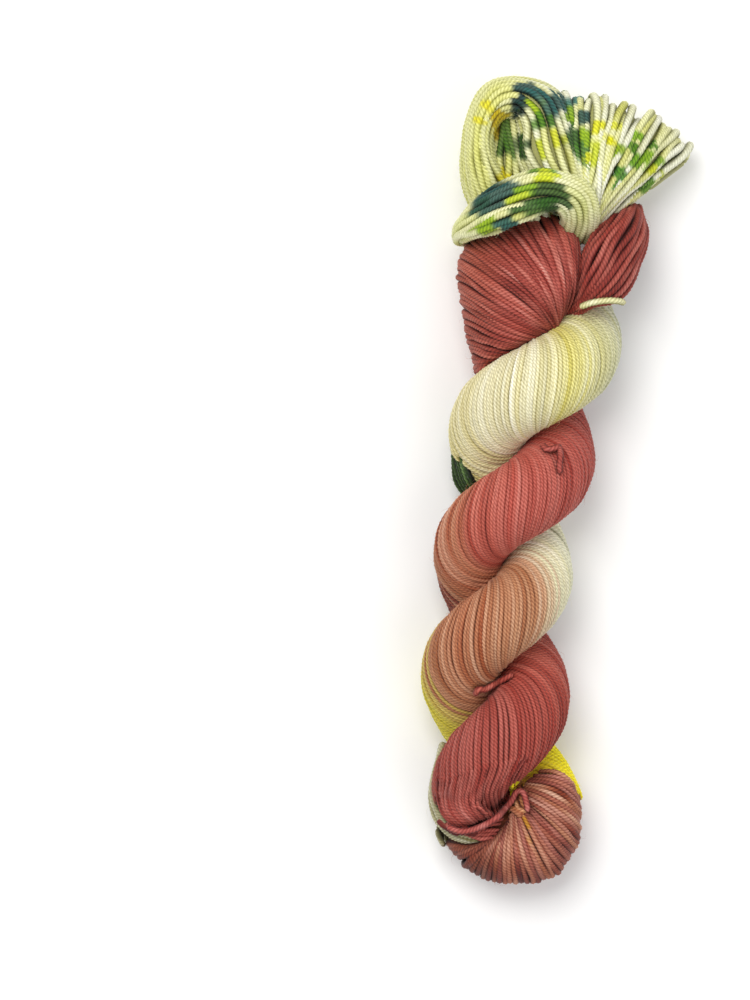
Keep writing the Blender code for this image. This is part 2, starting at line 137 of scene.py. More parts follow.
FOOT_FRONT = (
    (7.3, -90.8, 13.9, -92.4, 18.4, -96.9, 28.0, 32.0, 16.0, 3.0),
    (5.3, -93.9, 14.1, -95.6, 20.2, -101.5, 28.5, 33.0, 15.0, 2.0),
    (3.7, -97.2, 13.3, -100.2, 20.9, -106.3, 28.5, 33.0, 15.0, 2.0),
    (2.7, -100.5, 12.8, -105.7, 20.8, -112.4, 28.0, 32.5, 15.0, 2.0),
    (2.0, -103.8, 11.1, -111.7, 18.5, -118.8, 27.5, 32.0, 15.0, 2.0),
    (0.9, -105.9, 7.7, -116.5, 14.3, -125.3, 27.0, 31.5, 15.0, 2.0),
    (-0.6, -107.6, 3.4, -118.9, 8.1, -128.3, 27.0, 31.5, 15.0, 2.0),
    (-2.1, -108.7, -0.5, -119.2, 1.8, -129.2, 27.0, 31.5, 15.0, 2.0),
    (-3.6, -109.8, -4.3, -119.6, -3.5, -129.2, 27.0, 31.5, 15.0, 2.0),
    (-4.7, -111.2, -8.4, -120.0, -9.8, -128.2, 27.0, 31.0, 15.0, 2.0),
    (-5.9, -112.6, -12.4, -120.0, -15.8, -125.2, 26.5, 30.0, 15.0, 2.0),
    (-7.1, -114.0, -15.0, -118.6, -20.2, -121.0, 26.0, 28.5, 14.0, 3.0),
    (-8.2, -115.2, -16.4, -117.2, -22.4, -117.4, 24.0, 25.5, 13.0, 5.0),
)
HEEL_COURSES = (
    # x, y and lift above the solid, of four points from under the lower tie up the front of the red ply
    ((-1.3, -102.4, -1.0), (-2.1, -98.0, 0.0), (-0.8, -92.0, 0.0), (2.2, -85.0, 0.0)),
    ((-5.6, -106.0, -1.0), (-7.4, -101.8, 0.0), (-9.2, -95.5, 0.0), (-10.4, -88.4, 0.0)),
    ((-8.3, -107.5, -1.0), (-10.8, -103.6, 0.0), (-13.8, -97.5, 0.0), (-15.7, -90.5, 0.0)),
    ((-11.5, -109.2, -1.0), (-15.1, -105.7, 0.0), (-18.4, -100.4, 0.0), (-20.4, -93.3, 0.0)),
    ((-14.6, -110.9, -1.0), (-19.4, -106.9, 0.0), (-22.7, -101.6, 0.0), (-24.2, -94.5, 0.0)),
    ((-17.5, -112.2, -1.0), (-22.4, -108.4, 0.0), (-25.6, -102.7, 0.0), (-26.7, -95.6, 0.0)),
    ((-20.3, -112.3, -1.0), (-25.0, -107.9, 0.0), (-27.2, -102.4, 0.0), (-27.9, -96.2, 0.0)),
)
BELOW_TIE_COURSES = (
    # the same, of strands that run from the notch to the left, below the tie
    ((-4.4, -108.0, -1.0), (-8.0, -109.6, 0.0), (-12.5, -111.9, 0.0), (-17.5, -113.0, -1.0)),
    ((-5.6, -111.2, -1.0), (-10.0, -112.3, 0.0), (-16.0, -113.4, 0.0), (-21.8, -112.4, -1.0)),
    ((-7.4, -114.2, -1.0), (-12.0, -114.9, 0.0), (-18.4, -113.9, 0.0), (-24.6, -109.8, -1.0)),
)
GREEN_COURSES = (
    # x, y and z of points down the left edge of the cream ply, where its strands pass through dark green
    (
        (-29.6, 17.0, 12.0),
        (-31.6, 11.5, 13.0),
        (-32.1, 7.5, 13.0),
        (-31.6, 3.0, 13.0),
        (-29.5, -3.0, 13.0),
        (-24.5, -9.0, 12.0),
    ),
    (
        (-29.4, 15.0, 19.0),
        (-30.4, 10.2, 21.5),
        (-29.4, 6.0, 22.5),
        (-27.4, 2.0, 24.0),
        (-24.6, -2.0, 24.0),
        (-20.0, -6.5, 18.0),
    ),
)
EDGE_COURSES = (
    # x, y and z of points from the notch round the left edge of the foot
    (
        (-8.2, -114.4, 26.0),
        (-14.6, -115.4, 27.0),
        (-20.8, -113.6, 23.0),
        (-26.0, -108.4, 18.0),
        (-28.7, -99.6, 15.5),
        (-26.0, -86.0, 6.0),
    ),
    (
        (-9.6, -116.0, 25.0),
        (-15.8, -117.0, 25.0),
        (-22.4, -115.0, 19.5),
        (-27.4, -109.6, 14.0),
        (-29.4, -100.5, 11.5),
        (-26.6, -86.0, 4.0),
    ),
)
COLLAR_BACK = (
    # edge 1 x, y, z, edge 2 x, y, z, thickness
    (0.0, 57.0, 27.0, 3.0, 53.0, 26.0, 6.0),
    (2.6, 62.5, 34.5, 8.6, 59.4, 29.0, 11.0),
    (4.4, 70.5, 38.0, 16.6, 61.6, 28.0, 16.0),
    (7.4, 78.5, 37.0, 19.8, 69.6, 23.0, 17.0),
    (12.0, 85.5, 32.5, 20.6, 79.0, 17.0, 16.0),
    (15.5, 91.0, 22.0, 17.8, 86.5, 11.0, 12.0),
    (15.0, 93.5, 9.0, 13.5, 82.0, 8.0, 13.0),
    (2.0, 94.0, 8.5, 0.0, 78.0, 8.0, 14.0),
    (-13.0, 91.0, 8.5, -13.0, 74.0, 8.0, 15.0),
    (-26.0, 83.0, 9.0, -22.0, 68.0, 9.0, 13.0),
)
ARCH = (
    (-31.0, 82.0, 23.0, -16.0, 88.0, 23.0, 30.0),
    (-36.2, 93.0, 23.0, -21.0, 96.0, 23.0, 36.0),
    (-37.6, 104.0, 23.0, -26.0, 104.0, 23.0, 38.0),
    (-36.6, 116.5, 23.0, -26.0, 111.0, 23.0, 38.0),
    (-30.5, 127.2, 23.0, -23.5, 114.0, 23.0, 38.0),
    (-18.5, 129.27, 23.0, -20.5, 114.0, 23.0, 38.0),
    (-7.0, 124.5, 24.0, -19.5, 109.0, 24.0, 38.0),
    (-0.5, 112.5, 25.0, -20.0, 101.5, 25.0, 36.0),
    (3.5, 100.0, 26.0, -15.5, 94.0, 26.0, 32.0),
    (6.0, 91.0, 27.0, -8.0, 87.0, 27.0, 24.0),
)
ARCH_FILL = (
    (-30.0, 113.0, 20.0, -18.0, 117.0, 20.0, 26.0),
    (-30.0, 103.0, 20.0, -12.0, 106.0, 21.0, 30.0),
    (-29.0, 92.0, 20.0, -8.0, 95.0, 21.0, 30.0),
    (-24.0, 82.0, 20.0, -4.0, 84.0, 21.0, 28.0),
)
BELT = (
    (8.0, 80.0, 25.0, -5.0, 80.0, 26.0, 8.0),
    (8.0, 88.5, 37.0, -4.5, 84.5, 38.0, 8.0),
    (4.0, 95.8, 42.0, -6.0, 86.0, 43.5, 8.0),
    (-4.0, 99.0, 44.5, -9.0, 85.5, 46.5, 8.0),
    (-13.5, 99.3, 44.5, -14.0, 83.0, 48.0, 8.5),
    (-24.0, 94.0, 41.0, -21.0, 79.5, 47.0, 8.5),
    (-32.0, 87.0, 33.0, -29.0, 76.0, 41.0, 8.0),
    (-35.4, 80.5, 23.0, -34.4, 74.5, 30.0, 6.5),
    (-33.2, 81.0, 12.0, -32.2, 74.0, 16.0, 6.0),
    (-25.0, 86.0, 6.0, -24.0, 76.0, 8.0, 6.0),
)
LOWER_TIE = (
    # x, y, lift above the hank
    (-22.4, -112.0, 0.0),
    (-18.8, -112.9, 0.0),
    (-15.0, -112.3, 0.0),
    (-11.2, -110.4, 0.0),
    (-7.6, -107.7, 0.0),
    (-4.6, -104.9, 0.0),
    (-2.5, -101.7, 0.2),
    (-1.3, -98.8, 1.2),
    (0.7, -98.8, 1.0),
    (1.9, -101.6, 0.2),
    (2.8, -104.8, 0.0),
)
MIDDLE_TIE = (
    (-17.5, -69.0, 0.2),
    (-16.6, -67.2, 1.0),
    (-14.4, -67.0, 0.6),
    (-12.0, -65.4, 0.0),
    (-9.0, -63.4, 0.0),
    (-6.0, -61.4, 0.0),
)
UPPER_TIE = (
    (-3.8, 12.6, 0.2),
    (-2.0, 11.0, 0.4),
    (0.2, 11.4, 0.8),
    (1.8, 12.0, 0.8),
    (2.5, 9.6, 0.2),
    (2.4, 6.8, 0.0),
    (2.7, 3.6, 0.0),
)
LOOSE_END = (
    (4.5, 57.0, 0.6),
    (8.0, 58.6, 0.6),
    (12.0, 59.6, 0.6),
    (16.0, 60.0, 0.8),
    (19.0, 59.8, 1.0),
)


def through(rows, count):
    """Rows on smooth cubics through the table's rows: each cubic leaves and meets a row at its mean slope."""
    rows = np.array(rows, float)
    slopes = np.gradient(rows, axis=0)
    place = np.linspace(0.0, len(rows) - 1.0, count)
    low = np.minimum(place.astype(int), len(rows) - 2)
    t = (place - low)[:, None]
    a, b, da, db = rows[low], rows[low + 1], slopes[low], slopes[low + 1]
    return (
        a * (2 * t**3 - 3 * t**2 + 1)
        + da * (t**3 - 2 * t**2 + t)
        + b * (3 * t**2 - 2 * t**3)
        + db * (t**3 - t**2)
    )


def unit(vectors):
    """Each vector divided by its own length."""
    return vectors / np.maximum(np.linalg.norm(vectors, axis=-1, keepdims=True), 1e-9)


def lengths(line):
    """How far along a line each of its points lies: the running sum of the gaps between them."""
    return np.concatenate([[0.0], np.cumsum(np.linalg.norm(np.diff(line, axis=0), axis=1))])


def smooth_step(values, low, high):
    """0 below `low`, 1 above `high`, and 3t^2 - 2t^3 between them."""
    t = np.clip((values - low) / (high - low), 0.0, 1.0)
    return t * t * (3 - 2 * t)


def wander(count, places, reach, longest):
    """Smooth random drift for `count` strands: three sines of random phase, the slowest `longest` mm long."""
    waves = np.array([1.0, 1.9, 3.1])[:, None]
    phase = rng.uniform(0, 2 * math.pi, (count, 3, 1))
    share = rng.normal(0.0, 1.0, (count, 3, 1)) / waves
    return reach * np.sum(share * np.sin(2 * math.pi * places / longest * waves + phase), axis=1) / 1.1


# %% [markdown]
# ## One strand of yarn
#
# The yarn is four thin plies twisted together to the left. Cut across, it is a rosette with four rounded
# lobes. The rosette is carried along the strand's middle line and turned a little at each step, so that its
# lobes wind round the strand, once in 5 mm. A bump texture could only shade that twist: real lobes also
# notch the outline and hide each other at the sides. Strands on the underside are plain six-sided tubes,
# because the surface below hides their twist.

# %% One strand
ROSETTE = 2 * PLIES
PLAIN_SIDES, PLAIN_STEP = 6, 3
END_ROUNDING, LEAST_END = 1.0, 0.09  # length of a rounded end, and the square of its least share of width
CREST = 0.4  # how far a crest stands out, as a share of the groove's depth
# painted shade: LIT_FROM and LIT_FULL set where a strand's sides are painted dark, and GROOVE_SHADE how much
# darker its grooves are painted
LIT_FROM, LIT_FULL = 0.12, 0.97  # cos turn at which the side of a strand is dark, and at which it is open
GROOVE_SHADE = 0.5
Strand = collections.namedtuple("Strand", "line outward thickness colour open fine")


def evenly(line, columns, step):
    """A line of points, with values that go with it, taken anew every `step` mm of its length."""
    place = lengths(line)
    wanted = np.linspace(0.0, place[-1], max(int(place[-1] / step), 3) + 1)
    whole = np.column_stack([line, *columns])
    taken = np.stack([np.interp(wanted, place, column) for column in whole.T], axis=1)
    return taken[:, :3], taken[:, 3:]


def rings_of_yarn(strand):
    """Rings of points round a line: middle + radius x (cos turn x up + sin turn x across).

    The turn falls with the length, which makes a left-hand twist. The radius is a little more on the four
    crests and a little less in the grooves between them, and shrinks at both ends. With the points come
    their places on the yarn's skin, and how open to the light each one is: most on the top of a crest, and
    least in a groove or where two strands meet. The material paints that openness into the colour as shade.
    """
    line, sides = strand.line, ROSETTE if strand.fine else PLAIN_SIDES
    tangent = unit(np.gradient(line, axis=0))
    up = unit(strand.outward - np.sum(strand.outward * tangent, axis=1, keepdims=True) * tangent)
    across = np.cross(tangent, up)
    place = lengths(line)[:, None]
    start = rng.uniform(0, 2 * math.pi)
    spin = start - 2 * math.pi * place / PLY_TWIST if strand.fine else 0 * place
    groove = np.arange(sides) % 2 if strand.fine else np.zeros(sides)
    turn = spin + np.arange(sides) * 2 * math.pi / sides
    crest = 1 + GROOVE * (CREST - (1 + CREST) * groove)
    from_end = np.minimum(np.minimum(place, place[-1] - place) / END_ROUNDING, 1.0)
    rounded = np.sqrt(np.clip(1 - (1 - from_end) ** 2, LEAST_END, 1.0))
    around = strand.thickness[:, None] / 2 * rounded
    points = (
        line[:, None]
        + (around * crest * np.cos(turn))[..., None] * up[:, None]
        + (around * crest * np.sin(turn))[..., None] * across[:, None]
    )
    skin = np.stack([around * np.cos(turn), around * np.sin(turn), place + 0 * turn], axis=2)
    # painted shade: the sides of a strand and its grooves are painted darker
    light = smooth_step(np.cos(turn), LIT_FROM, LIT_FULL) * (1 - GROOVE_SHADE * groove) * strand.open[:, None]
    return points, skin, light


def tube_faces(count, sides, first):
    """Quads between rings that follow each other, and one cap on each end."""
    ring = np.arange(count - 1)[:, None] * sides
    side = np.arange(sides)
    after = (side + 1) % sides
    quads = np.stack([ring + side, ring + after, ring + after + sides, ring + side + sides], axis=2)
    last = (count - 1) * sides
    return first + quads.reshape(-1, 4), [first + side[::-1], first + last + side]


def wool_mesh(name, points, quads, caps, dye, skin, light):
    """A mesh of quads and caps, whose points carry their dye, place on the yarn's skin, and openness, which
    the material paints into the colour as shade.
    """
    mesh = bpy.data.meshes.new(name)
    mesh.vertices.add(len(points))
    mesh.vertices.foreach_set("co", (points * MM).astype(np.float32).ravel())
    corners = np.concatenate([quads.ravel(), *caps])
    mesh.loops.add(len(corners))
    mesh.loops.foreach_set("vertex_index", corners.astype(np.int32))
    sizes = np.array([4] * len(quads) + [len(cap) for cap in caps])
    mesh.polygons.add(len(sizes))
    mesh.polygons.foreach_set("loop_start", (np.cumsum(sizes) - sizes).astype(np.int32))
    mesh.update(calc_edges=True)
    mesh.shade_smooth()
    layers = (
        ("dye", "FLOAT_COLOR", "color", np.column_stack([dye, np.ones(len(dye))])),
        ("skin", "FLOAT_VECTOR", "vector", skin),
        ("light", "FLOAT", "value", light),
    )
    for layer, kind, field, values in layers:
        attribute = mesh.attributes.new(layer, kind, "POINT")
        attribute.data.foreach_set(field, values.astype(np.float32).ravel())
    mesh.materials.append(wool)
    piece = bpy.data.objects.new(name, mesh)
    bpy.context.scene.collection.objects.link(piece)
    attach(piece, "root")
    print(f"{name}: {int((sizes - 2).sum())} triangles")
    return piece


def yarn_piece(name, strands):
    """One piece of many strands, each with its own start of twist and its own patch of fibre pattern."""
    points, skins, lights, dyes, quads, caps = [], [], [], [], [], []
    first = 0
    for strand in strands:
        ring, skin, light = rings_of_yarn(strand)
        sides = ring.shape[1]
        faces, ends = tube_faces(len(strand.line), sides, first)
        points.append(ring.reshape(-1, 3))
        skins.append(skin.reshape(-1, 3) + rng.uniform(0, 400, 3))
        lights.append(light.ravel())
        dyes.append(np.repeat(strand.colour, sides, axis=0))
        quads.append(faces)
        caps += ends
        first += ring.shape[0] * sides
    whole = [np.concatenate(parts) for parts in (points, quads)]
    piece = wool_mesh(name, *whole, caps, *[np.concatenate(parts) for parts in (dyes, skins, lights)])
    metres = sum(lengths(strand.line)[-1] for strand in strands) * MM
    print(f"    {len(strands)} stretches, {metres:.2f} m of yarn")
    return piece


# %% [markdown]
# ## Dye, light and wool
#
# A hand dyer pours dyes on wet wool, and they run into each other, so the colour changes along the skein and
# is never quite even. Colour is kept on the points of the mesh, as an attribute, because it belongs to a
# place on the yarn and not to a place in the room. Hex colours are how dyers' charts and screens name them,
# and a renderer adds up light, so one function turns them into linear values.

# %% Colour
def linear(hex_colour):
    """The linear values of an sRGB hex colour, by the standard curve."""
    values = np.array([int(hex_colour[place : place + 2], 16) for place in (1, 3, 5)]) / 255
    return np.where(values <= 0.04045, values / 12.92, ((values + 0.055) / 1.055) ** 2.4)


def dye_along(stops, places):
    """Colours, and how streaky they are, at places along a dyed skein: straight blends between stops."""
    at = np.array([stop[0] for stop in stops], float)
    values = np.array([[*linear(stop[1]), stop[2]] for stop in stops])
    return np.stack([np.interp(places, at, column) for column in values.T], axis=-1)


def deepened(colour, depth):
    """The colour deepened or paled: where the wool took up more dye or less, and at the foot's bottom edge as
    painted shade. Each value goes to the power e^depth.
    """
    return np.clip(colour, 0.0, 1.0) ** np.exp(depth)[..., None]


print("brick red, linear:", linear("#B85C50").round(3))

# %% [markdown]
# Wool is a mass of fine, scaly, translucent hairs. It has no hard highlight, only a broad soft one, and a
# faint glow at its edges where the hairs stand out, which the Principled shader calls sheen. Shade in the
# grooves and on the sides of the strands is painted into the base colour. Light that reaches the bottom of
# a groove has met the dyed hairs twice on its way, so the painted shade colour there is the dye multiplied
# by itself: not just darker, but richer. The material blends from that painted shade colour to the plain
# dye by how open each point is, and scales it from 0.42 on shut points to 1.12 on open ones, as painted
# shade and a little painted highlight. The fibres of a ply lie along the yarn, so a noise that is stretched
# along it, about 0.4 mm across and 1.5 mm long, breaks up the colour and bumps the surface.

# %% Wool material
def add_node(tree, kind, inputs=None, links=None, **settings):
    """Adds a node, sets its properties and its inputs' values, and links inputs to other nodes' outputs."""
    node = tree.nodes.new(kind)
    for name, value in settings.items():
        setattr(node, name, value)
    for name, value in (inputs or {}).items():
        node.inputs[name].default_value = value
    for name, output in (links or {}).items():
        tree.links.new(output, node.inputs[name])
    return node


def dyed_wool():
    """The wool: base colour = mix(dye^2, dye, light) x painted shade x fibre tone, with fibres as bump."""
    material = bpy.data.materials.new("dyed_wool_yarn")
    material.use_nodes = True
    tree = material.node_tree
    shader = tree.nodes["Principled BSDF"]
    shader.inputs["Roughness"].default_value = 0.68
    shader.inputs["IOR"].default_value = 1.5
    shader.inputs["Specular IOR Level"].default_value = 0.3
    shader.inputs["Sheen Weight"].default_value = 0.06
    shader.inputs["Sheen Roughness"].default_value = 0.45
    dye = add_node(tree, "ShaderNodeAttribute", attribute_name="dye").outputs["Color"]
    light = add_node(tree, "ShaderNodeAttribute", attribute_name="light").outputs["Fac"]
    skin = add_node(tree, "ShaderNodeAttribute", attribute_name="skin").outputs["Vector"]
    lengthwise = add_node(tree, "ShaderNodeMapping", {"Scale": (2.6, 2.6, 0.7)}, {"Vector": skin})
    fibres = add_node(
        tree,
        "ShaderNodeTexNoise",
        {"Scale": 1.0, "Detail": 2.0, "Roughness": 0.6},
        {"Vector": lengthwise.outputs["Vector"]},
    ).outputs["Fac"]
    # painted shade: dye times dye is the colour painted into grooves and on the sides of strands
    painted_shade_colour = add_node(tree, "ShaderNodeVectorMath", links={0: dye, 1: dye}, operation="MULTIPLY")
    colour = add_node(
        tree, "ShaderNodeMixRGB", links={"Fac": light, "Color1": painted_shade_colour.outputs["Vector"], "Color2": dye}
    ).outputs["Color"]
    # painted shade and a little painted highlight: the colour is scaled from 0.42 on shut points to 1.12 on
    # open crests
    painted_shade_scale = add_node(tree, "ShaderNodeMapRange", {"To Min": 0.42, "To Max": 1.12}, {"Value": light})
    tone = add_node(
        tree,
        "ShaderNodeMapRange",
        {"From Min": 0.3, "From Max": 0.7, "To Min": 0.86, "To Max": 1.1},
        {"Value": fibres},
    )
    both = add_node(
        tree,
        "ShaderNodeMath",
        links={0: painted_shade_scale.outputs["Result"], 1: tone.outputs["Result"]},
        operation="MULTIPLY",
    )
    add_node(
        tree,
        "ShaderNodeVectorMath",
        links={0: colour, "Scale": both.outputs["Value"]},
        operation="SCALE",
        name="wool colour",
    )
    tree.links.new(tree.nodes["wool colour"].outputs["Vector"], shader.inputs["Base Color"])
    bump = add_node(tree, "ShaderNodeBump", {"Strength": 0.5, "Distance": 0.0001}, {"Height": fibres})
    tree.links.new(bump.outputs["Normal"], shader.inputs["Normal"])
    return material


wool = dyed_wool()
print("wool nodes:", len(wool.node_tree.nodes))

# %% [markdown]
# ## The loose ends
#
# The hank is tied in a few places with short lengths of the same yarn, so that it can be washed and dyed
# without tangling, and each tie leaves an end that shows. A route is given from above, point by point, and
# a ray cast down at each point finds the height of the hank below, so that the yarn lies on it. The length
# of the lower tie's laid path, its rise over the hank included, is printed.

# %% Loose ends
CLEARANCE = 0.65  # between the solid and yarn that lies on the strands above it
PROBES = 12  # rays round each point, on a circle of the yarn's own radius
PROBE_HEIGHT = 200.0
PROBE_DROP = 0.6  # share of the radius by which yarn on that circle may sink into what lies under it
ROUTE_POINTS = 40
hank_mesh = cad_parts["hank"].data
hank_surface = BVHTree.FromPolygons(
    [vertex.co.copy() for vertex in hank_mesh.vertices], [list(face.vertices) for face in hank_mesh.polygons]
)


def height_below(x, y):
    """The height of the solid hank straight below a point, or None beside it."""
    hit = hank_surface.ray_cast(Vector((x, y, PROBE_HEIGHT)) * MM, Vector((0.0, 0.0, -1.0)))[0]
    return None if hit is None else hit.z / MM


def lying_yarn(name, route, colour):
    """One loose end: its route raised until yarn of its thickness clears the highest point under it."""
    radius = TIE / 2
    turns = np.arange(PROBES) * 2 * math.pi / PROBES
    drops = [radius * PROBE_DROP] * PROBES
    around = [(0.0, 0.0, 0.0), *zip(radius * np.cos(turns), radius * np.sin(turns), drops)]
    line = through(route, ROUTE_POINTS)
    height = 0.0
    for point in line:
        tops = [(height_below(point[0] + dx, point[1] + dy), drop) for dx, dy, drop in around]
        tops = [top - drop for top, drop in tops if top is not None]
        height = max(tops) + radius + CLEARANCE + point[2] if tops else height
        point[2] = height
    middle = line[1:-1, 2] * 0.4 + (line[:-2, 2] + line[2:, 2]) * 0.3
    line[1:-1, 2] = np.maximum(line[1:-1, 2], middle)
    line, _ = evenly(line, [], ROW)
    up = np.tile([0.0, 0.0, 1.0], (len(line), 1))
    dye = deepened(np.tile(linear(colour), (len(line), 1)), wander(1, lengths(line), 0.2, 16.0)[0])
    strand = Strand(line, up, np.full(len(line), TIE), dye, np.ones(len(line)), True)
    piece = yarn_piece(name + "_yarn", [strand])
    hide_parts(name)
    return piece, line


tie, tie_line = lying_yarn("lower_tie", LOWER_TIE, "#B9625A")
print("lower tie, mm:", round(lengths(tie_line)[-1], 1))
lying_yarn("middle_tie", MIDDLE_TIE, "#B45A4C")
lying_yarn("upper_tie", UPPER_TIE, "#B25A50")
lying_yarn("loose_end", LOOSE_END, "#E4E1B4")

# %% [markdown]
# ## The skein's path
#
# The body of the hank is one skein, folded in half and twisted: the cream ply runs down it, turns round the
# foot, and comes back up as the red ply. So one path carries every strand. Its turn round the hank is a
# helix, and strands lie on a circle round the path. They turn backwards round it as fast as the helix turns
# forwards, which is why the strands of a twisted skein look nearly straight on each ply's front.

# %% Skein path
PATH_STEP = 0.5
CLIMB = 0.74  # height taken for each mm of step
FLAT_GAP = 0.6  # how far short of the hank's axis the plies press flat
SPINE_SAMPLES = 400


def spine_at(y):
    """The spine's columns at each height y, on smooth cubics."""
    fine = through(SPINE, SPINE_SAMPLES)[::-1]
    return [np.interp(y, fine[:, 0], fine[:, column]) for column in range(1, 6)]


def ply_path(top_y, start_turn, foot_swell):
    """One ply from its top to the foot's bottom: its middle line x = spine + offset cos turn, z likewise.

    Its columns are the point, the outward direction, radius, offset, turn of the strands per mm, and y.
    """
    y = np.arange(top_y, FOLD_Y, -PATH_STEP * CLIMB)
    x, z, offset, radius, haste = spine_at(y)
    even_turn = start_turn - 2 * math.pi * (y - CREAM_FRONT_Y) / TWIST_PITCH
    turn = even_turn - haste * np.cos(even_turn)
    radius = radius * (1 + foot_swell * np.clip(1 - (y - FOLD_Y) / FOOT_REACH, 0.0, 1.0) ** 2)
    out = np.stack([np.cos(turn), 0 * turn, np.sin(turn)], axis=1)
    middle = np.stack([x, y, z], axis=1) + out * offset[:, None]
    sweep = np.linspace(0.0, math.pi / 2, int(offset[-1] * math.pi / 2 / PATH_STEP))[1:, None]
    foot_out = np.cos(sweep) * out[-1] + np.sin(sweep) * np.array([0.0, -1.0, 0.0])
    foot = np.array([x[-1], FOLD_Y, z[-1]]) + foot_out * offset[-1]
    foot_radius = radius[-1] * (1 - foot_swell / (1 + foot_swell) * np.sin(sweep[:, 0]))
    step = np.linalg.norm(np.gradient(middle, axis=0), axis=1)
    lean = np.abs(np.gradient(middle[:, 1])) / step
    rate = -(1 + offset / (radius - TIGHT / 2)) * np.abs(np.gradient(turn)) / step / lean
    steady = np.ones(len(foot))
    ply = np.column_stack([middle, out, radius, offset, rate, y])
    foot = np.column_stack(
        [foot, foot_out, foot_radius, offset[-1] * steady, rate[-5] * steady, FOLD_Y * steady]
    )
    return np.vstack([ply, foot])


cream = ply_path(CREAM_TOP_Y, math.pi / 2, CREAM_FOOT_SWELL)
red = ply_path(RED_TOP_Y, -math.pi / 2, RED_FOOT_SWELL)
skein = np.vstack([cream, red[-2::-1]])
path, path_out = skein[:, 0:3], unit(skein[:, 3:6])
path_radius, path_offset, path_rate, path_y = skein[:, 6:].T
path_place = lengths(path)
path_side = unit(np.cross(unit(np.gradient(path, axis=0)), path_out))
path_turn = np.concatenate([[0.0], np.cumsum((path_rate[1:] + path_rate[:-1]) / 2 * np.diff(path_place))])
print("the skein's path, mm:", round(path_place[-1]), "and the foot is at", round(path_place[len(cream)]))

# %% [markdown]
# ## The dyes along the skein
#
# Each ply's colours are listed by the height y where they cross its front, and the fold's by the angle round
# it. The last column is how streaky the dye is: tan, where brick red was rinsed out of cream, is the
# streakiest, and there the strands differ most from each other.

# %% Dyes of the skein
CREAM_DYES = (
    # y, colour, streaks
    # painted shade: the greyer stops from y 44 upwards are darker than the cream itself, for shade at the top
    # of the cream ply
    (70.0, "#D0D0AC", 0.3),
    (50.0, "#CCCEB4", 0.3),
    (44.0, "#DCDCC0", 0.3),
    (38.0, "#E0DCAA", 0.3),
    (35.0, "#E4DC8C", 0.4),
    (32.0, "#E6E0B6", 0.4),
    (27.0, "#EAE4C4", 0.4),
    (20.0, "#E6DEB4", 0.3),
    (14.0, "#E2DAA8", 0.3),
    (11.0, "#C4C078", 0.2),
    (9.0, "#5E7A2C", 0.2),
    (6.0, "#2F4F14", 0.2),
    (0.0, "#38541A", 0.2),
    (-5.0, "#A8A86A", 0.3),
    (-20.0, "#E4E0BE", 0.3),
    (-30.0, "#E9E8CE", 0.3),
    (-36.0, "#E8E2C4", 0.3),
    (-39.0, "#CCA07C", 0.35),
    (-45.0, "#C48E6A", 0.4),
    (-52.0, "#CA9270", 0.4),
    (-58.0, "#B67E58", 0.3),
    (-60.0, "#D2BC6A", 0.2),
    (-63.0, "#DCCF52", 0.2),
    (-70.0, "#E2D840", 0.2),
    (-80.0, "#F0E424", 0.1),
    (-97.0, "#FCF010", 0.05),
    (-101.0, "#FCF010", 0.05),
)
FOLD_DYES = (
    # degrees round the fold from the cream ply's side, colour, streaks
    (0.0, "#FCEE14", 0.05),
    (40.0, "#ECD838", 0.1),
    (70.0, "#C98A5C", 0.3),
    (110.0, "#A8604C", 0.3),
    (145.0, "#9C5A46", 0.3),
    (165.0, "#8E4C3C", 0.2),
)
RED_DYES = (
    # y, colour, streaks
    (-104.0, "#8E4A3C", 0.2),
    (-98.0, "#A2483C", 0.25),
    (-88.0, "#B86054", 0.25),
    (-78.0, "#B45648", 0.25),
    (-72.0, "#B05040", 0.25),
    (-64.0, "#A84C3E", 0.25),
    (-40.0, "#86362C", 0.2),
    (-30.0, "#741F14", 0.2),
    (-26.0, "#8F4632", 0.3),
    (-23.0, "#C08A68", 0.4),
    (-19.0, "#C27E5E", 0.4),
    (-16.0, "#C58666", 0.4),
    (-13.5, "#BC5E4C", 0.25),
    (-7.0, "#C4685A", 0.2),
    (2.0, "#BC6054", 0.2),
    (10.0, "#B0564C", 0.2),
    (30.0, "#8E3830", 0.2),
    (62.0, "#A34A40", 0.2),
)


def path_at(y, ply):
    """How far along the skein's path a ply is at height y."""
    split = len(cream)
    if ply == "cream":
        return np.interp(-y, -path_y[:split], path_place[:split])
    return np.interp(y, path_y[split:], path_place[split:])


fold_starts, fold_ends = path_at(FOLD_Y + 0.5, "cream"), path_at(FOLD_Y + 0.5, "red")
stops = [(path_at(y, "cream"), *dye) for y, *dye in CREAM_DYES]
stops += [(fold_starts + (fold_ends - fold_starts) * turn / 180, *dye) for turn, *dye in FOLD_DYES]
stops += [(path_at(y, "red"), *dye) for y, *dye in RED_DYES]
skein_stops = sorted(stops)
print("colours along the skein:", len(skein_stops))

# %% [markdown]
# ## Lobes and bands
#
# At the head the skein's ends are loose. The red one opens into a lobe on the left and a leaf on the right;
# the cream one comes out between them as an arch, a fan, and a belt across its front. At the foot the
# strands fan out over the fold. A lobe is a sheet of strands that spread from a root, pass over the front,
# turn at a rim and come back behind. A band is a bundle whose strands run side by side along it. Both are
# grids of points, one row for each strand, and no two strands are spaced quite alike.

# %% Lobes and bands
FRONT_POINTS, BACK_POINTS, BEFORE_ROOT = 60, 40, 0.16
EDGE_HEIGHT = 15.0  # height of a strand that runs along the very edge of the solid


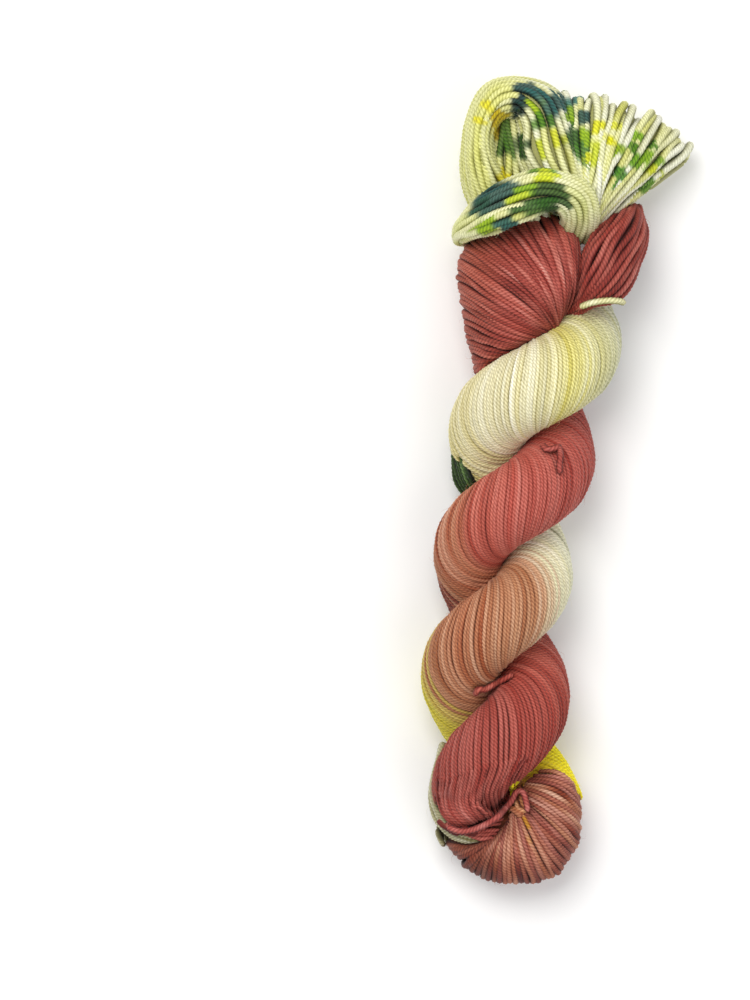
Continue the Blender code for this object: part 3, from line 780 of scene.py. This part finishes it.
def fan_grid(rows, count, uneven=0.22, ragged=0.0):
    """A grid of a lobe's strands, as t goes from just under 0, at the root, to pi.

    Seen from above a strand is a parabola from root to rim through its midway point, run along by sin t.
    Over the front its height is rim + (top - rim) cos t, less a dip to the root, and behind it falls to the
    low height by the same cosine. `ragged` is how much the strands differ in length.
    """
    fine = through(rows, 400)
    place = lengths((fine[:, 2:4] + fine[:, 4:6]) / 2)
    wanted = (np.arange(count) + 0.5 + rng.uniform(-uneven, uneven, count)) / count * place[-1]
    rows = np.stack([np.interp(wanted, place, column) for column in fine.T], axis=1)[:, None, :]
    front = np.linspace(-BEFORE_ROOT, math.pi / 2, FRONT_POINTS)
    back = np.linspace(math.pi / 2, math.pi, BACK_POINTS)[1:]
    turn = np.concatenate([front, back])[None, :]
    root, midway, rim = rows[..., 0:2], rows[..., 2:4], rows[..., 4:6]
    root_z, top_z, rim_z, low_z = (rows[..., column] for column in range(6, 10))
    rim = rim + (rim - midway) * rng.uniform(-1.0, 0.6, (count, 1, 1)) * ragged
    front_z = rim_z + (top_z - rim_z) * np.cos(turn) - (top_z - root_z) * (1 - np.sin(turn)) ** 3
    back_z = rim_z + (rim_z - low_z) * np.cos(turn)
    height = np.where(turn < math.pi / 2, front_z, back_z)
    reach = np.sin(turn)[..., None]
    pull = 2 * midway - (root + rim) / 2
    flat = root * (1 - reach) ** 2 + pull * 2 * reach * (1 - reach) + rim * reach**2
    return np.concatenate([flat, height[..., None]], axis=2)


def band_grid(rows, count, points=160, fullness=0.85):
    """A grid of the strands of a band: evenly spaced round each section, a squared-up ellipse."""
    rows = through(rows, points)
    first, second, thick = rows[:, 0:3], rows[:, 3:6], rows[:, 6:7]
    middle, across = (first + second) / 2, (second - first) / 2
    face = unit(np.cross(np.gradient(middle, axis=0), across)) * thick / 2
    fine = np.linspace(0, 2 * math.pi, 721)
    wide = np.sign(np.cos(fine)) * np.abs(np.cos(fine)) ** fullness
    high = np.sign(np.sin(fine)) * np.abs(np.sin(fine)) ** fullness
    size = np.median(np.linalg.norm(across, axis=1)), np.median(thick) / 2
    place = lengths(np.column_stack([wide * size[0], high * size[1]]))
    wanted = (np.arange(count) + rng.uniform(-0.18, 0.18, count)) % count / count * place[-1]
    wide, high = np.interp(wanted, place, wide), np.interp(wanted, place, high)
    return middle[None] + across[None] * wide[:, None, None] + face[None] * high[:, None, None]


GRID_POINTS = FRONT_POINTS + BACK_POINTS - 1


def course_grid(rows, shares, laid):
    """A grid of strands at these shares of the way over the table's courses, each smooth through its points.

    Where `laid` is true, the height of the solid below is added to each point's own.
    """
    rows = through([np.ravel(row) for row in rows], 200)
    place = lengths(rows[:, 3:6])
    rows = np.stack([np.interp(shares * place[-1], place, column) for column in rows.T], axis=1)
    grid = np.stack([through(row.reshape(-1, 3), GRID_POINTS) for row in rows])
    if laid:
        below = [height_below(x, y) or EDGE_HEIGHT for x, y in grid[..., :2].reshape(-1, 2)]
        padded = np.pad(np.reshape(below, grid.shape[:2]), ((0, 0), (4, 4)), "edge")
        grid[..., 2] += np.stack([np.convolve(row, np.ones(9) / 9, "valid") for row in padded])
    return grid


lobe = fan_grid(LEFT_LOBE, 54)
leaf = band_grid(COLLAR_BACK, 23)
arch = band_grid(ARCH, 36, points=220)
inner = band_grid(ARCH_FILL, 30, points=80)
fan = fan_grid(FAN, 26, uneven=0.3, ragged=0.12)
belt = band_grid(BELT, 18, points=220)
foot = fan_grid(FOOT_FRONT, 40, uneven=0.12)
below_tie = course_grid(BELOW_TIE_COURSES, np.linspace(0.0, 1.0, 5), laid=True)
edge = course_grid(EDGE_COURSES, np.linspace(0.0, 1.0, 4), laid=False)
green = course_grid(GREEN_COURSES, np.linspace(0.0, 1.0, 6), laid=False)
head_grids = (lobe, leaf, arch, inner, fan, belt, foot, below_tie, edge, green)
print("strands in the lobes and bands:", sum(len(grid) for grid in head_grids))

# %% [markdown]
# ## Strands of the twisted body
#
# Thirty-eight strands lie round the path. A strand is left out where it is buried: where the other ply
# covers it, where the two plies press flat on each other, and under the lobes. Each drifts a little
# sideways, and rises and sinks by a few tenths of a millimetre, because yarn is wound by hand.

# %% Body
BODY_STRANDS = 38
FLOOR_SOFTNESS = 1.2
STREAKINESS = 0.6  # how unevenly the strands took up the dye
TUCK = 1.8  # length by which a strand goes on where it is buried
UNDERSIDE = -0.45  # outward z below which a strand faces the surface that the hank lies on
NEAR_FLOOR = 12.0
HEEL_LOW, HEEL_LEFT = 16.0, -27.0  # lower, or further left, a strand keeps to the helix at the heel
BELOW_HEEL = -107.0  # y below which the left edge of the foot is covered by its own strands
OWN_PLY = 32.0  # length of path on each side of a strand's point that belongs to its own ply
FAR_APART = 9.0
BURIED, OPEN = -2.3, 2.5  # gap to the other ply at which a strand is hidden, and at which it is fully lit
MOST_PRESSED = 2.0
COLLAR_Y = 64.0  # y above which the lobes cover the body
FOLD_LEAD = 12.0
COVER_REACH = 2.0
COVER_MARGIN, FOLD_MARGIN = 2.0, 8.0  # how far above a covering lobe a strand still counts as under it
LOBE_FRONT = slice(6, FRONT_POINTS, 2)  # of a grid's points, those of its front, without its tucked ends
BELOW_TIE_FRONT, EDGE_FRONT, GREEN_FRONT = slice(6, 90, 2), slice(6, 80, 2), slice(8, 92, 2)
FOOT_OPEN = 3  # strands at the right of the foot that leave the body's below them in sight
PALE_NEAR, PALE_FAR = 3.0, 4.5  # distance from the pale strands at which a strand is pale, and is not
PALE_BELOW, PALE_ABOVE = -22.0, -17.0
JOIN_REACH = 1.5


def above_floor(points, least):
    """Heights pushed smoothly up to at least `least`: h = least + s ln(1 + e^((h - least) / s))."""
    risen = points.copy()
    risen[..., 2] = least + FLOOR_SOFTNESS * np.logaddexp(0.0, (points[..., 2] - least) / FLOOR_SOFTNESS)
    return risen


def shown_stretches(strand, hidden):
    """The stretches of a strand that show, each a little longer than that, so that its ends are tucked in.

    Where one faces the surface below, it is made plain, with its rings three times as far apart.
    """
    tuck = int(TUCK / ROW)
    shown = np.convolve((~hidden).astype(float), np.ones(2 * tuck + 1), "same") > 0.5
    below = (strand.outward[:, 2] < UNDERSIDE) & (strand.line[:, 2] < NEAR_FLOOR)
    kind = np.where(shown, np.where(below, 2, 1), 0)
    edges = np.flatnonzero(np.diff(np.concatenate([[-1], kind, [-1]])))
    stretches = []
    for start, stop in zip(edges[:-1], edges[1:]):
        if kind[start] == 0 or stop - start < 5:
            continue
        fine = kind[start] == 1
        part = slice(max(start - 2, 0), stop + 2, 1 if fine else PLAIN_STEP)
        stretches.append(Strand(*[column[part] for column in strand[:5]], fine))
    return stretches


def under_lobe(line, front, margin, depth):
    """Which points of a line lie close to one of a lobe's, seen from above, and near its height."""
    front = front.reshape(-1, 3)
    away = np.linalg.norm(line[:, None, :2] - front[None, :, :2], axis=2)
    higher = line[:, 2] - front[away.argmin(axis=1), 2]
    return (away.min(axis=1) < COVER_REACH) & (higher < margin) & (higher > -depth)


heel_top = np.array([course[-1][:2] for course in HEEL_COURSES])[::-1]
heel_right = np.array([point[1::-1] for point in HEEL_COURSES[0]])


def in_heel(line):
    """Which points of a line lie on the heel's front, where strands leave the helix and run to the notch."""
    below_top = line[:, 1] < np.interp(line[:, 0], *heel_top.T)
    left_of_notch = line[:, 0] < np.interp(line[:, 1], *heel_right.T)
    return below_top & left_of_notch & (line[:, 2] > HEEL_LOW) & (line[:, 0] > HEEL_LEFT)


def near_edge(line):
    """How close points are to the pale strands round the left edge of the foot: 1 when near, 0 when far."""
    points = edge[:, EDGE_FRONT].reshape(-1, 3)
    away = np.linalg.norm(line[:, None, :2] - points[None, :, :2], axis=2).min(axis=1)
    return (1 - smooth_step(away, PALE_NEAR, PALE_FAR)) * smooth_step(-line[:, 2], PALE_BELOW, PALE_ABOVE)


def body_strands():
    """The body's strands where they show, and the points and colours where they run on over the heel.

    Each strand is path + (radius - thickness / 2) x (cos angle out + sin angle across), and the angle is its
    start + the path's running turn + a slow drift.
    """
    spacing = 1 + 0.07 * rng.standard_normal(BODY_STRANDS)
    starts = np.cumsum(spacing) / spacing.sum() * 2 * math.pi
    drift = wander(BODY_STRANDS, path_place, 0.024, 90.0)
    lift = wander(BODY_STRANDS, path_place, 0.2, 45.0)
    uptake = wander(BODY_STRANDS, path_place, 1.0, 70.0)
    coarse = slice(None, None, 3)
    strands, joins = [], []
    for start, sideways, up_down, streak in zip(starts, drift, lift, uptake):
        angle = start + path_turn + sideways
        outward = np.cos(angle)[:, None] * path_out + np.sin(angle)[:, None] * path_side
        line = path + outward * (path_radius - TIGHT / 2 + np.minimum(up_down, 0.35))[:, None]
        inwards = -np.sum((line - path) * path_out, axis=1)
        pressed = np.maximum(0.0, inwards - (path_offset - FLAT_GAP))
        line = above_floor(line + pressed[:, None] * path_out, TIGHT / 2)
        wrapped = (angle + math.pi) % (2 * math.pi) - math.pi
        crossing = np.interp(-(path_turn - wrapped), -path_turn, path_place)
        line, rest = evenly(line, [outward, pressed, path_place, crossing, streak], ROW)
        outward, (pressed, place, crossing, streak) = unit(rest[:, :3]), rest[:, 3:].T
        apart = np.linalg.norm(line[:, None] - path[coarse][None], axis=2) - path_radius[coarse][None]
        apart[np.abs(place[:, None] - path_place[coarse][None]) < OWN_PLY] = FAR_APART
        apart = apart.min(axis=1)
        hidden = (apart < BURIED) | (pressed > MOST_PRESSED) | (line[:, 1] > COLLAR_Y)
        in_fold = (place > fold_starts - FOLD_LEAD) & (place < fold_ends)
        for front, depth in COVERS:
            hidden |= under_lobe(line, front, np.where(in_fold, FOLD_MARGIN, COVER_MARGIN), depth)
        hidden |= in_fold & (line[:, 0] < HEEL_LEFT + 2.0) & (line[:, 1] < BELOW_HEEL)
        heel = in_heel(line)
        dyes = dye_along(skein_stops, crossing + rng.normal(0, 1.2))
        colour = deepened(dyes[:, :3], STREAKINESS * dyes[:, 3] * streak) * (1 + rng.normal(0, 0.03))
        # painted shade: a strand is painted darker where it runs close to the other ply, and less so beside
        # the pale edge strands
        light = 0.5 + 0.5 * smooth_step(apart, BURIED, OPEN)
        by_edge = near_edge(line)[:, None]
        colour = colour + (linear("#BDB894") - colour) * by_edge
        light = np.maximum(light, 0.8 * by_edge[:, 0])
        for point in np.flatnonzero(heel[:-1] & ~heel[1:] & ~hidden[:-1]):
            if abs(line[point, 1] - np.interp(line[point, 0], *heel_top.T)) < JOIN_REACH:
                joins.append((*(line[point] + outward[point] * TIGHT / 2), *colour[point]))
        strand = Strand(line, outward, np.full(len(line), TIGHT), np.clip(colour, 0, 1), light, True)
        strands += shown_stretches(strand, hidden | heel)
    return strands, np.array(sorted(joins, reverse=True))


COVERS = (
    # points of the lobes that cover the body, and how far below them a strand is buried
    (foot[FOOT_OPEN:, LOBE_FRONT], 100.0),
    (lobe[:, LOBE_FRONT], 100.0),
    (below_tie[:, BELOW_TIE_FRONT], 9.0),
    (edge[:, EDGE_FRONT], 6.0),
    (green[:, GREEN_FRONT], 8.0),
)
BODY_PIECES = (
    # name, lowest and highest y of a stretch's middle
    ("body_top", 15.0, 200.0),
    ("body_upper", -25.0, 15.0),
    ("body_lower", -65.0, -25.0),
    ("body_foot", -200.0, -65.0),
)
made, heel_joins = body_strands()
body_pieces = [
    yarn_piece(name, [strand for strand in made if low <= strand.line[:, 1].mean() < high])
    for name, low, high in BODY_PIECES
]
print("strands that run on over the heel:", len(heel_joins))

# %% [markdown]
# ## Speckles
#
# On the cream loops the dyer sprinkled dry dye powder. Each grain dissolved where it fell and crept along
# the strands, so a speckle is a spot that is longer along the yarn than across it, dense in the middle and
# pale at its edge, and neighbouring strands take it up unevenly.

# %% Speckles
SPECKLES = (
    # x, y, half length along the strand, half width, colour
    (-18.3, 122.8, 3.5, 3.0, "#1F4F50"),
    (-19.8, 120.2, 2.6, 2.6, "#163F40"),
    (-21.1, 118.2, 2.6, 2.4, "#17403C"),
    (-12.4, 120.3, 6.5, 2.4, "#2A6660"),
    (-7.5, 120.9, 3.6, 1.7, "#235C58"),
    (-3.5, 122.4, 2.6, 1.5, "#4E8478"),
    (0.1, 116.9, 1.9, 1.9, "#1B5450"),
    (-24.2, 110.8, 8.5, 1.6, "#456F14"),
    (-18.6, 106.1, 4.5, 1.6, "#2E5A12"),
    (-15.2, 118.8, 4.2, 1.9, "#A7BE1A"),
    (-13.6, 115.2, 2.6, 2.0, "#5C8F10"),
    (-11.3, 114.7, 2.4, 1.4, "#4F7F1E"),
    (-7.6, 109.3, 3.0, 1.9, "#D9DC2E"),
    (-13.4, 105.0, 3.0, 1.8, "#C9D21E"),
    (-2.3, 110.2, 5.2, 2.6, "#2F5F10"),
    (0.9, 105.6, 6.4, 1.5, "#4C7F20"),
    (-4.9, 117.3, 2.4, 1.5, "#8FB018"),
    (-23.4, 96.8, 2.0, 1.5, "#E8DD12"),
    (-30.7, 117.7, 1.6, 1.3, "#E6DF35"),
    (-32.6, 112.6, 1.6, 1.3, "#E6DF35"),
    (-28.0, 115.2, 4.0, 1.4, "#D8C21A"),
    (-27.4, 109.8, 3.6, 1.2, "#D3BE22"),
    (1.7, 111.0, 3.2, 1.2, "#9DBB1C"),
    (3.2, 104.5, 2.0, 1.2, "#D8DA2A"),
    (4.8, 106.6, 3.6, 1.0, "#CFD836"),
    (4.8, 114.4, 2.1, 1.2, "#E3E22A"),
    (8.9, 110.5, 2.2, 1.5, "#E0DE14"),
    (10.9, 115.3, 2.0, 1.2, "#DEDF45"),
    (11.7, 108.0, 2.4, 1.2, "#9AB51A"),
    (13.2, 100.4, 3.2, 1.6, "#4F8F14"),
    (16.3, 109.4, 1.5, 1.5, "#5F8F18"),
    (18.0, 112.6, 2.0, 1.5, "#8DB528"),
    (18.6, 105.5, 3.0, 1.3, "#7AA81C"),
    (20.6, 106.8, 3.8, 1.4, "#8FB51C"),
    (23.0, 111.0, 1.6, 1.4, "#5F9018"),
    (25.3, 107.0, 2.0, 1.2, "#8DB028"),
    (23.3, 104.6, 2.6, 1.2, "#D2D82E"),
    (21.8, 97.6, 2.7, 1.4, "#6F9A2C"),
    (25.4, 97.3, 1.7, 1.2, "#A2B52A"),
    (27.6, 102.0, 1.4, 1.2, "#C2CC4A"),
)
BELT_SPECKLES = (
    (-25.6, 88.4, 7.5, 3.4, "#1F5854"),
    (-28.6, 86.2, 3.4, 1.6, "#2E5C46"),
    (-15.1, 91.8, 3.8, 2.0, "#8DB31A"),
    (-9.6, 91.7, 6.8, 3.6, "#2A560E"),
    (-13.0, 88.0, 5.5, 2.6, "#2F6210"),
    (-11.4, 99.4, 5.6, 1.5, "#6E9A14"),
    (-10.0, 97.0, 3.4, 1.0, "#D2DA20"),
    (-27.8, 79.9, 4.2, 1.4, "#9DBB1C"),
    (-21.2, 80.6, 3.8, 1.4, "#2F6A62"),
    (-19.6, 88.6, 3.4, 1.4, "#C4D23A"),
    (-7.4, 86.4, 2.2, 2.0, "#2A5016"),
)
FOOT_SPECKLES = (
    (2.6, -109.0, 4.0, 0.5, "#D09A2C"),
    (4.6, -113.5, 2.6, 0.4, "#C8923C"),
)


def speckled(colour, line, speckles, top_only=18.0):
    """Colours with dye spots: each is an ellipse that lies along the strand, with a soft, uneven edge."""
    along = unit(np.gradient(line, axis=0))[:, :2]
    lean = along / np.maximum(np.linalg.norm(along, axis=1, keepdims=True), 0.3)
    for x, y, length, width, dye in speckles:
        away = line[:, :2] - (x, y)
        lengthwise = np.sum(away * lean, axis=1) / (length * rng.uniform(0.6, 1.4)) + rng.uniform(-0.35, 0.35)
        sideways = (away[:, 0] * lean[:, 1] - away[:, 1] * lean[:, 0]) / (width + 0.4)
        share = 1 - smooth_step(np.hypot(lengthwise, sideways), 0.8, 1.2)
        share = share * rng.uniform(0.9, 1.0) * (line[:, 2] > top_only)
        colour = colour + (linear(dye) - colour) * share[:, None]
    return colour


# %% [markdown]
# ## Strands of the head and the foot
#
# The strands lie just inside the surface of their grid. For a lobe or a band that is the solid's own
# surface, so the two keep the same size there. Loose yarn is thicker than tight yarn, because nothing
# squeezes the air out of it. Where strands crowd together at a root they are thinner, and painted darker
# there as shade.

# %% Head and foot
# thickness along a lobe's strand, as a share of its own: least at the root
crowding = 0.7 + 0.3 * smooth_step(np.linspace(-BEFORE_ROOT, math.pi, GRID_POINTS), 0.0, 0.8)


def outward_normals(grid, closed):
    """Unit normals of a grid of points: the cross product of its two directions, turned to point out."""
    across = np.roll(grid, -1, 0) - np.roll(grid, 1, 0) if closed else np.gradient(grid, axis=0)
    normals = unit(np.cross(across, np.gradient(grid, axis=1)))
    centre = grid.mean(axis=0 if closed else 1, keepdims=True)
    return normals * np.sign(np.sum(normals * (grid - centre)))


def strands_over(grid, closed, thickness, colour_of, sway=0.35, rise=0.3):
    """Strands just under a grid's surface: point + normal x (lift - thickness / 2) + sideways x drift."""
    normals = outward_normals(grid, closed)
    sideways = np.cross(normals, unit(np.gradient(grid, axis=1)))
    place = lengths(grid.mean(axis=0))
    drift = wander(len(grid), place, sway, 55.0)[..., None]
    lift = np.minimum(wander(len(grid), place, rise, 35.0), 0.5)[..., None]
    crowded = np.ones(grid.shape[1]) if closed else crowding
    strands = []
    for row in range(len(grid)):
        thick = thickness * crowded
        line = grid[row] + normals[row] * (lift[row] - thick[:, None] / 2) + sideways[row] * drift[row]
        line, rest = evenly(above_floor(line, SLACK / 2), [normals[row], thick], ROW)
        normal, thick = unit(rest[:, :3]), rest[:, 3]
        # painted shade: the thin, crowded stretch near a root is painted darker
        light = smooth_step(thick, thickness * 0.5, thickness * 0.85)
        strand = Strand(line, normal, thick, np.clip(colour_of(line), 0, 1), 0.4 + 0.6 * light, True)
        strands += shown_stretches(strand, np.zeros(len(line), bool))
    return strands


def shaded(shades, line, streaks):
    """One of the shades, picked at random for the strand, and made deeper and paler along it."""
    base = linear(shades[rng.integers(len(shades))])
    return deepened(np.tile(base, (len(line), 1)), wander(1, lengths(line), streaks, 40.0)[0])


def red_colour(line):
    """Brick red, which fades a little to the left."""
    colour = shaded(("#B2584C", "#A64C40", "#BA6254", "#9C4438"), line, 0.2)
    faded = 0.5 * smooth_step(-line[:, 0], 16.0, 34.0)[:, None]
    return colour + (linear("#B4664C") - colour) * faded


def cream_colour(line):
    """Cream, yellower to the left, with the speckles of the arch and the fan."""
    yellow = smooth_step(-line[:, 0], 8.0, 30.0)[:, None]
    colour = shaded(("#E8E8B8", "#ECECC8", "#E4E4A4", "#EFEFD8"), line, 0.25)
    colour = colour + (linear("#DEDE82") - colour) * yellow * 0.6
    return speckled(colour, line, SPECKLES)


def belt_colour(line):
    """Cream with the belt's own speckles."""
    return speckled(shaded(("#E2E4A6", "#E8E8B8"), line, 0.25), line, BELT_SPECKLES)


def foot_colour(line):
    """Tan on the right, golden near the notch, and brown towards the left, with painted shade deepening it
    towards the bottom edge.
    """
    colour = shaded(("#C08466", "#B26E58", "#C88E74", "#A86252"), line, 0.25)
    brown = smooth_step(-line[:, 0], 0.0, 12.0)[:, None]
    colour = colour + (linear("#8A4A36") - colour) * brown * 0.7
    # painted shade: the bottom edge of the foot, turned away from the light, is painted deeper
    colour = deepened(colour, 0.35 * smooth_step(-line[:, 1], 116.0, 128.0))
    return speckled(colour, line, FOOT_SPECKLES)


FADE_FROM = 0.35  # share of a heel strand's course at which it starts to leave it for its join


def heel_grid():
    """The strands of the heel: each runs on from one of the body, and fades from its place to a course."""
    shares = np.interp(-heel_joins[:, 0], -heel_top[::-1, 0], lengths(heel_top[::-1]))
    grid = course_grid(HEEL_COURSES, shares / lengths(heel_top[::-1])[-1], laid=True)
    fade = smooth_step(np.linspace(0.0, 1.0, GRID_POINTS), FADE_FROM, 1.0)[None, :, None]
    return grid + (heel_joins[:, :3] - grid[:, -1])[:, None] * fade


heel = heel_grid()
joined_dyes = iter(heel_joins[:, 3:])


def heel_colour(line):
    """The colour of the body's strand that this one runs on from."""
    return deepened(np.tile(next(joined_dyes), (len(line), 1)), wander(1, lengths(line), 0.15, 40.0)[0])


def below_tie_colour(line):
    """Brick red, for the few strands below the lower tie."""
    return shaded(("#B65C50", "#AC5044", "#BC6458", "#A84C40"), line, 0.2)


def edge_colour(line):
    """Pale grey-green, for the strands round the left edge of the foot."""
    return shaded(("#BDB894", "#C6C2A4", "#B0AA80"), line, 0.2)


def green_colour(line):
    """Dark green, for the left edge of the cream ply."""
    return shaded(("#3C5A1A", "#2F4A12", "#4A6A2A"), line, 0.3)


HEAD_PIECES = (
    # name, grid, whether it closes round, thickness, colours, sideways drift
    ("collar_left", lobe, False, 2.05, red_colour, 0.3),
    ("collar_right", leaf, True, 2.5, red_colour, 0.3),
    ("crown_arch", arch, True, SLACK, cream_colour, 0.5),
    ("crown_inside", inner, True, SLACK, cream_colour, 1.3),
    ("crown_fan", fan, False, 2.7, cream_colour, 0.8),
    ("crown_belt", belt, True, SLACK, belt_colour, 0.4),
    ("foot_front", foot, False, 2.25, foot_colour, 0.25),
    ("heel_front", heel, False, TIGHT, heel_colour, 0.0),
    ("heel_below_tie", below_tie, False, 1.9, below_tie_colour, 0.15),
    ("foot_edge", edge, False, 1.9, edge_colour, 0.15),
    ("cream_ply_edge", green, False, 1.9, green_colour, 0.1),
)
head_strands = []
for name, grid, closed, thickness, colours, sway in HEAD_PIECES:
    strands = strands_over(grid, closed, thickness, colours, sway)
    yarn_piece(name, strands)
    head_strands += strands
print("strands in the head and the foot:", len(head_strands))

# %% [markdown]
# ## The inside
#
# Under the outer strands lie many more, of which only dark slivers show in the gaps. They aren't worth their
# points, so closed bodies one or two strands further in stand for them, painted in the dark colour of shaded
# yarn as painted shade.

# %% Inner yarn
CORE_DEPTH, PATH_CORE_DEPTH = 2.0, 3.2
CORE_SIDES = 16
CORED_PIECES = 7  # the first of HEAD_PIECES: the rest lie over the skein's own core
# painted shade: the inner yarn gets little light, so the material paints it dark
CORE_LIGHT = 0.25
OPEN_SIDE = 5  # strands at the open side of a fan that lie over nothing


def path_core():
    """Rings round the skein's path, as far in as the second layer of strands, flat where the plies press."""
    keep = slice(0, None, 6)
    angle = np.arange(CORE_SIDES) / CORE_SIDES * 2 * math.pi
    cosine, sine = np.cos(angle)[None, :, None], np.sin(angle)[None, :, None]
    out = cosine * path_out[keep, None] + sine * path_side[keep, None]
    points = path[keep, None] + out * (path_radius[keep, None, None] - PATH_CORE_DEPTH)
    inwards = -np.sum((points - path[keep, None]) * path_out[keep, None], axis=2)
    pressed = np.maximum(0.0, inwards - (path_offset[keep, None] - FLAT_GAP))
    points = above_floor(points + pressed[..., None] * path_out[keep, None], TIGHT / 2)
    dyes = dye_along(skein_stops, path_place[keep])[:, None, :3]
    return points, np.repeat(dyes, CORE_SIDES, axis=1)


def grid_core(grid, closed, dye):
    """A grid drawn in along its normals. A band's rings go round it, and a lobe's go root, rim and back."""
    rings = grid - outward_normals(grid, closed) * CORE_DEPTH
    rings = above_floor(rings, TIGHT / 2)[:, ::4]
    rings = rings.transpose(1, 0, 2) if closed else rings
    return rings, np.tile(linear(dye), (*rings.shape[:2], 1))


def core_piece(name, bodies):
    """Closed bodies of rings in one mesh, each turned right side out by the sign of the volume it closes."""
    points, dyes, quads, caps = [], [], [], []
    first = 0
    for rings, colour in bodies:
        count, sides, _ = rings.shape
        faces, ends = tube_faces(count, sides, 0)
        flat = rings.reshape(-1, 3)
        a, b, c, d = (flat[faces[:, corner]] - flat.mean(axis=0) for corner in range(4))
        volume = np.sum(a * np.cross(b, c)) + np.sum(a * np.cross(c, d))
        if volume < 0:
            faces, ends = faces[:, ::-1], [cap[::-1] for cap in ends]
        quads.append(faces + first)
        caps += [cap + first for cap in ends]
        points.append(flat)
        dyes.append(colour.reshape(-1, 3))
        first += len(flat)
    points = np.concatenate(points)
    light = np.full(first, CORE_LIGHT)
    piece = wool_mesh(name, points, np.concatenate(quads), caps, np.concatenate(dyes), points, light)


bodies = [path_core()]
for name, grid, closed, *_ in HEAD_PIECES[:CORED_PIECES]:
    grid = grid[: -OPEN_SIDE] if name in ("foot_front", "crown_fan") else grid
    bodies.append(grid_core(grid, closed, "#E4E4AC" if name.startswith("crown") else "#9A4438"))
core_piece("inner_yarn", bodies)

# %% [markdown]
# ## Stray fibres
#
# Wool yarn is never smooth: the ends of single hairs stand out from it, most easily seen against the light
# at its outline. A real hair is 0.02 mm thick. These are 0.05 mm, and far fewer, so that they show at all
# from a metre away. Each is a thin three-sided tube that leaves the yarn at a low angle and bends back.

# %% Stray fibres
FIBRES, FIBRE_POINTS, FIBRE_SIDES = 1250, 6, 3
FIBRE_THICKNESS = 0.05


def fibre_piece(strands):
    """Fibres from points on strands: base + length x (t along + rise sin 2.2t up + sway t^2 across)."""
    lines, ups, thick, dyes = (
        np.concatenate(parts) for parts in zip(*[(s.line, s.outward, s.thickness, s.colour) for s in strands])
    )
    alongs = np.concatenate([unit(np.gradient(strand.line, axis=0)) for strand in strands])
    chosen = rng.choice(np.flatnonzero(ups[:, 2] > -0.4), FIBRES, replace=False)
    t = np.linspace(0.0, 1.0, FIBRE_POINTS)[None, :, None]
    along, up = alongs[chosen, None] * rng.choice((-1, 1), (FIBRES, 1, 1)), ups[chosen, None]
    across = np.cross(along, up)
    length = rng.uniform(1.2, 3.6, (FIBRES, 1, 1))
    rise, sway = rng.uniform(0.15, 0.5, (FIBRES, 1, 1)), rng.normal(0.0, 0.5, (FIBRES, 1, 1))
    middle = lines[chosen, None] + up * (thick[chosen] / 2 * 0.9)[:, None, None]
    middle = middle + length * (t * along + rise * np.sin(2.2 * t) * up + sway * t**2 * across)
    angle = (np.arange(FIBRE_SIDES) * 2 * math.pi / FIBRE_SIDES)[None, None, :, None]
    ring = np.cos(angle) * up[:, :, None] + np.sin(angle) * across[:, :, None]
    radius = FIBRE_THICKNESS / 2 * (1.2 - t)
    points = (middle[:, :, None] + radius[..., None] * ring).reshape(-1, 3)
    faces, ends = tube_faces(FIBRE_POINTS, FIBRE_SIDES, 0)
    shift = np.arange(FIBRES)[:, None, None] * FIBRE_POINTS * FIBRE_SIDES
    quads = (faces[None] + shift).reshape(-1, 4)
    caps = list((np.array(ends)[None] + shift).reshape(-1, FIBRE_SIDES))
    dyes = np.repeat(dyes[chosen], FIBRE_POINTS * FIBRE_SIDES, axis=0)
    piece = wool_mesh("stray_fibres", points, quads, caps, dyes, points, np.ones(len(points)))


fibre_piece([strand for strand in made + head_strands if strand.fine])

# %% [markdown]
# ## Floor and light
#
# A pale matt surface and two large soft lights, as for goods pictured in a studio: the stronger stands above
# the head on the left, and the weaker one fills the shadows from the right. Large lights give shadows with
# soft edges. White from all round is what the pale walls of the studio send back.

# %% Floor and light
floor_mesh = bpy.data.meshes.new("floor")
floor_mesh.from_pydata([(-3, -3, 0), (3, -3, 0), (3, 3, 0), (-3, 3, 0)], [], [(0, 1, 2, 3)])
floor = bpy.data.objects.new("floor", floor_mesh)
bpy.context.scene.collection.objects.link(floor)
paper = bpy.data.materials.new("white_paper")
paper.use_nodes = True
paper.node_tree.nodes["Principled BSDF"].inputs["Base Color"].default_value = (0.9, 0.9, 0.9, 1.0)
paper.node_tree.nodes["Principled BSDF"].inputs["Roughness"].default_value = 0.9
floor_mesh.materials.append(paper)


def softbox(name, place, size, power, colour):
    """A rectangular light turned to face the hank: pitch = arccos of how steeply it looks down."""
    light = bpy.data.lights.new(name, "AREA")
    light.shape = "RECTANGLE"
    light.size, light.size_y = size
    light.energy = power
    light.color = colour
    holder = bpy.data.objects.new(name, light)
    holder.location = place
    towards = -np.array(place) / np.linalg.norm(place)
    pitch = math.acos(-towards[2])
    holder.rotation_euler = (pitch, 0.0, math.atan2(place[0], -place[1]))
    bpy.context.scene.collection.objects.link(holder)


softbox("key_softbox", (-0.45, 0.6, 1.45), (1.0, 1.0), 20.0, (1.0, 0.985, 0.96))
softbox("fill_softbox", (0.8, -0.4, 1.2), (1.2, 1.2), 6.0, (0.96, 0.98, 1.0))
world = bpy.data.worlds.new("studio")
world.use_nodes = True
world.node_tree.nodes["Background"].inputs["Color"].default_value = (1.0, 1.0, 1.0, 1.0)
world.node_tree.nodes["Background"].inputs["Strength"].default_value = 0.55
bpy.context.scene.world = world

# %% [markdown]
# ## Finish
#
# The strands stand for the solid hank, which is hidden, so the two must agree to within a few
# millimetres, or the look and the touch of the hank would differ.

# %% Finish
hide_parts("hank")
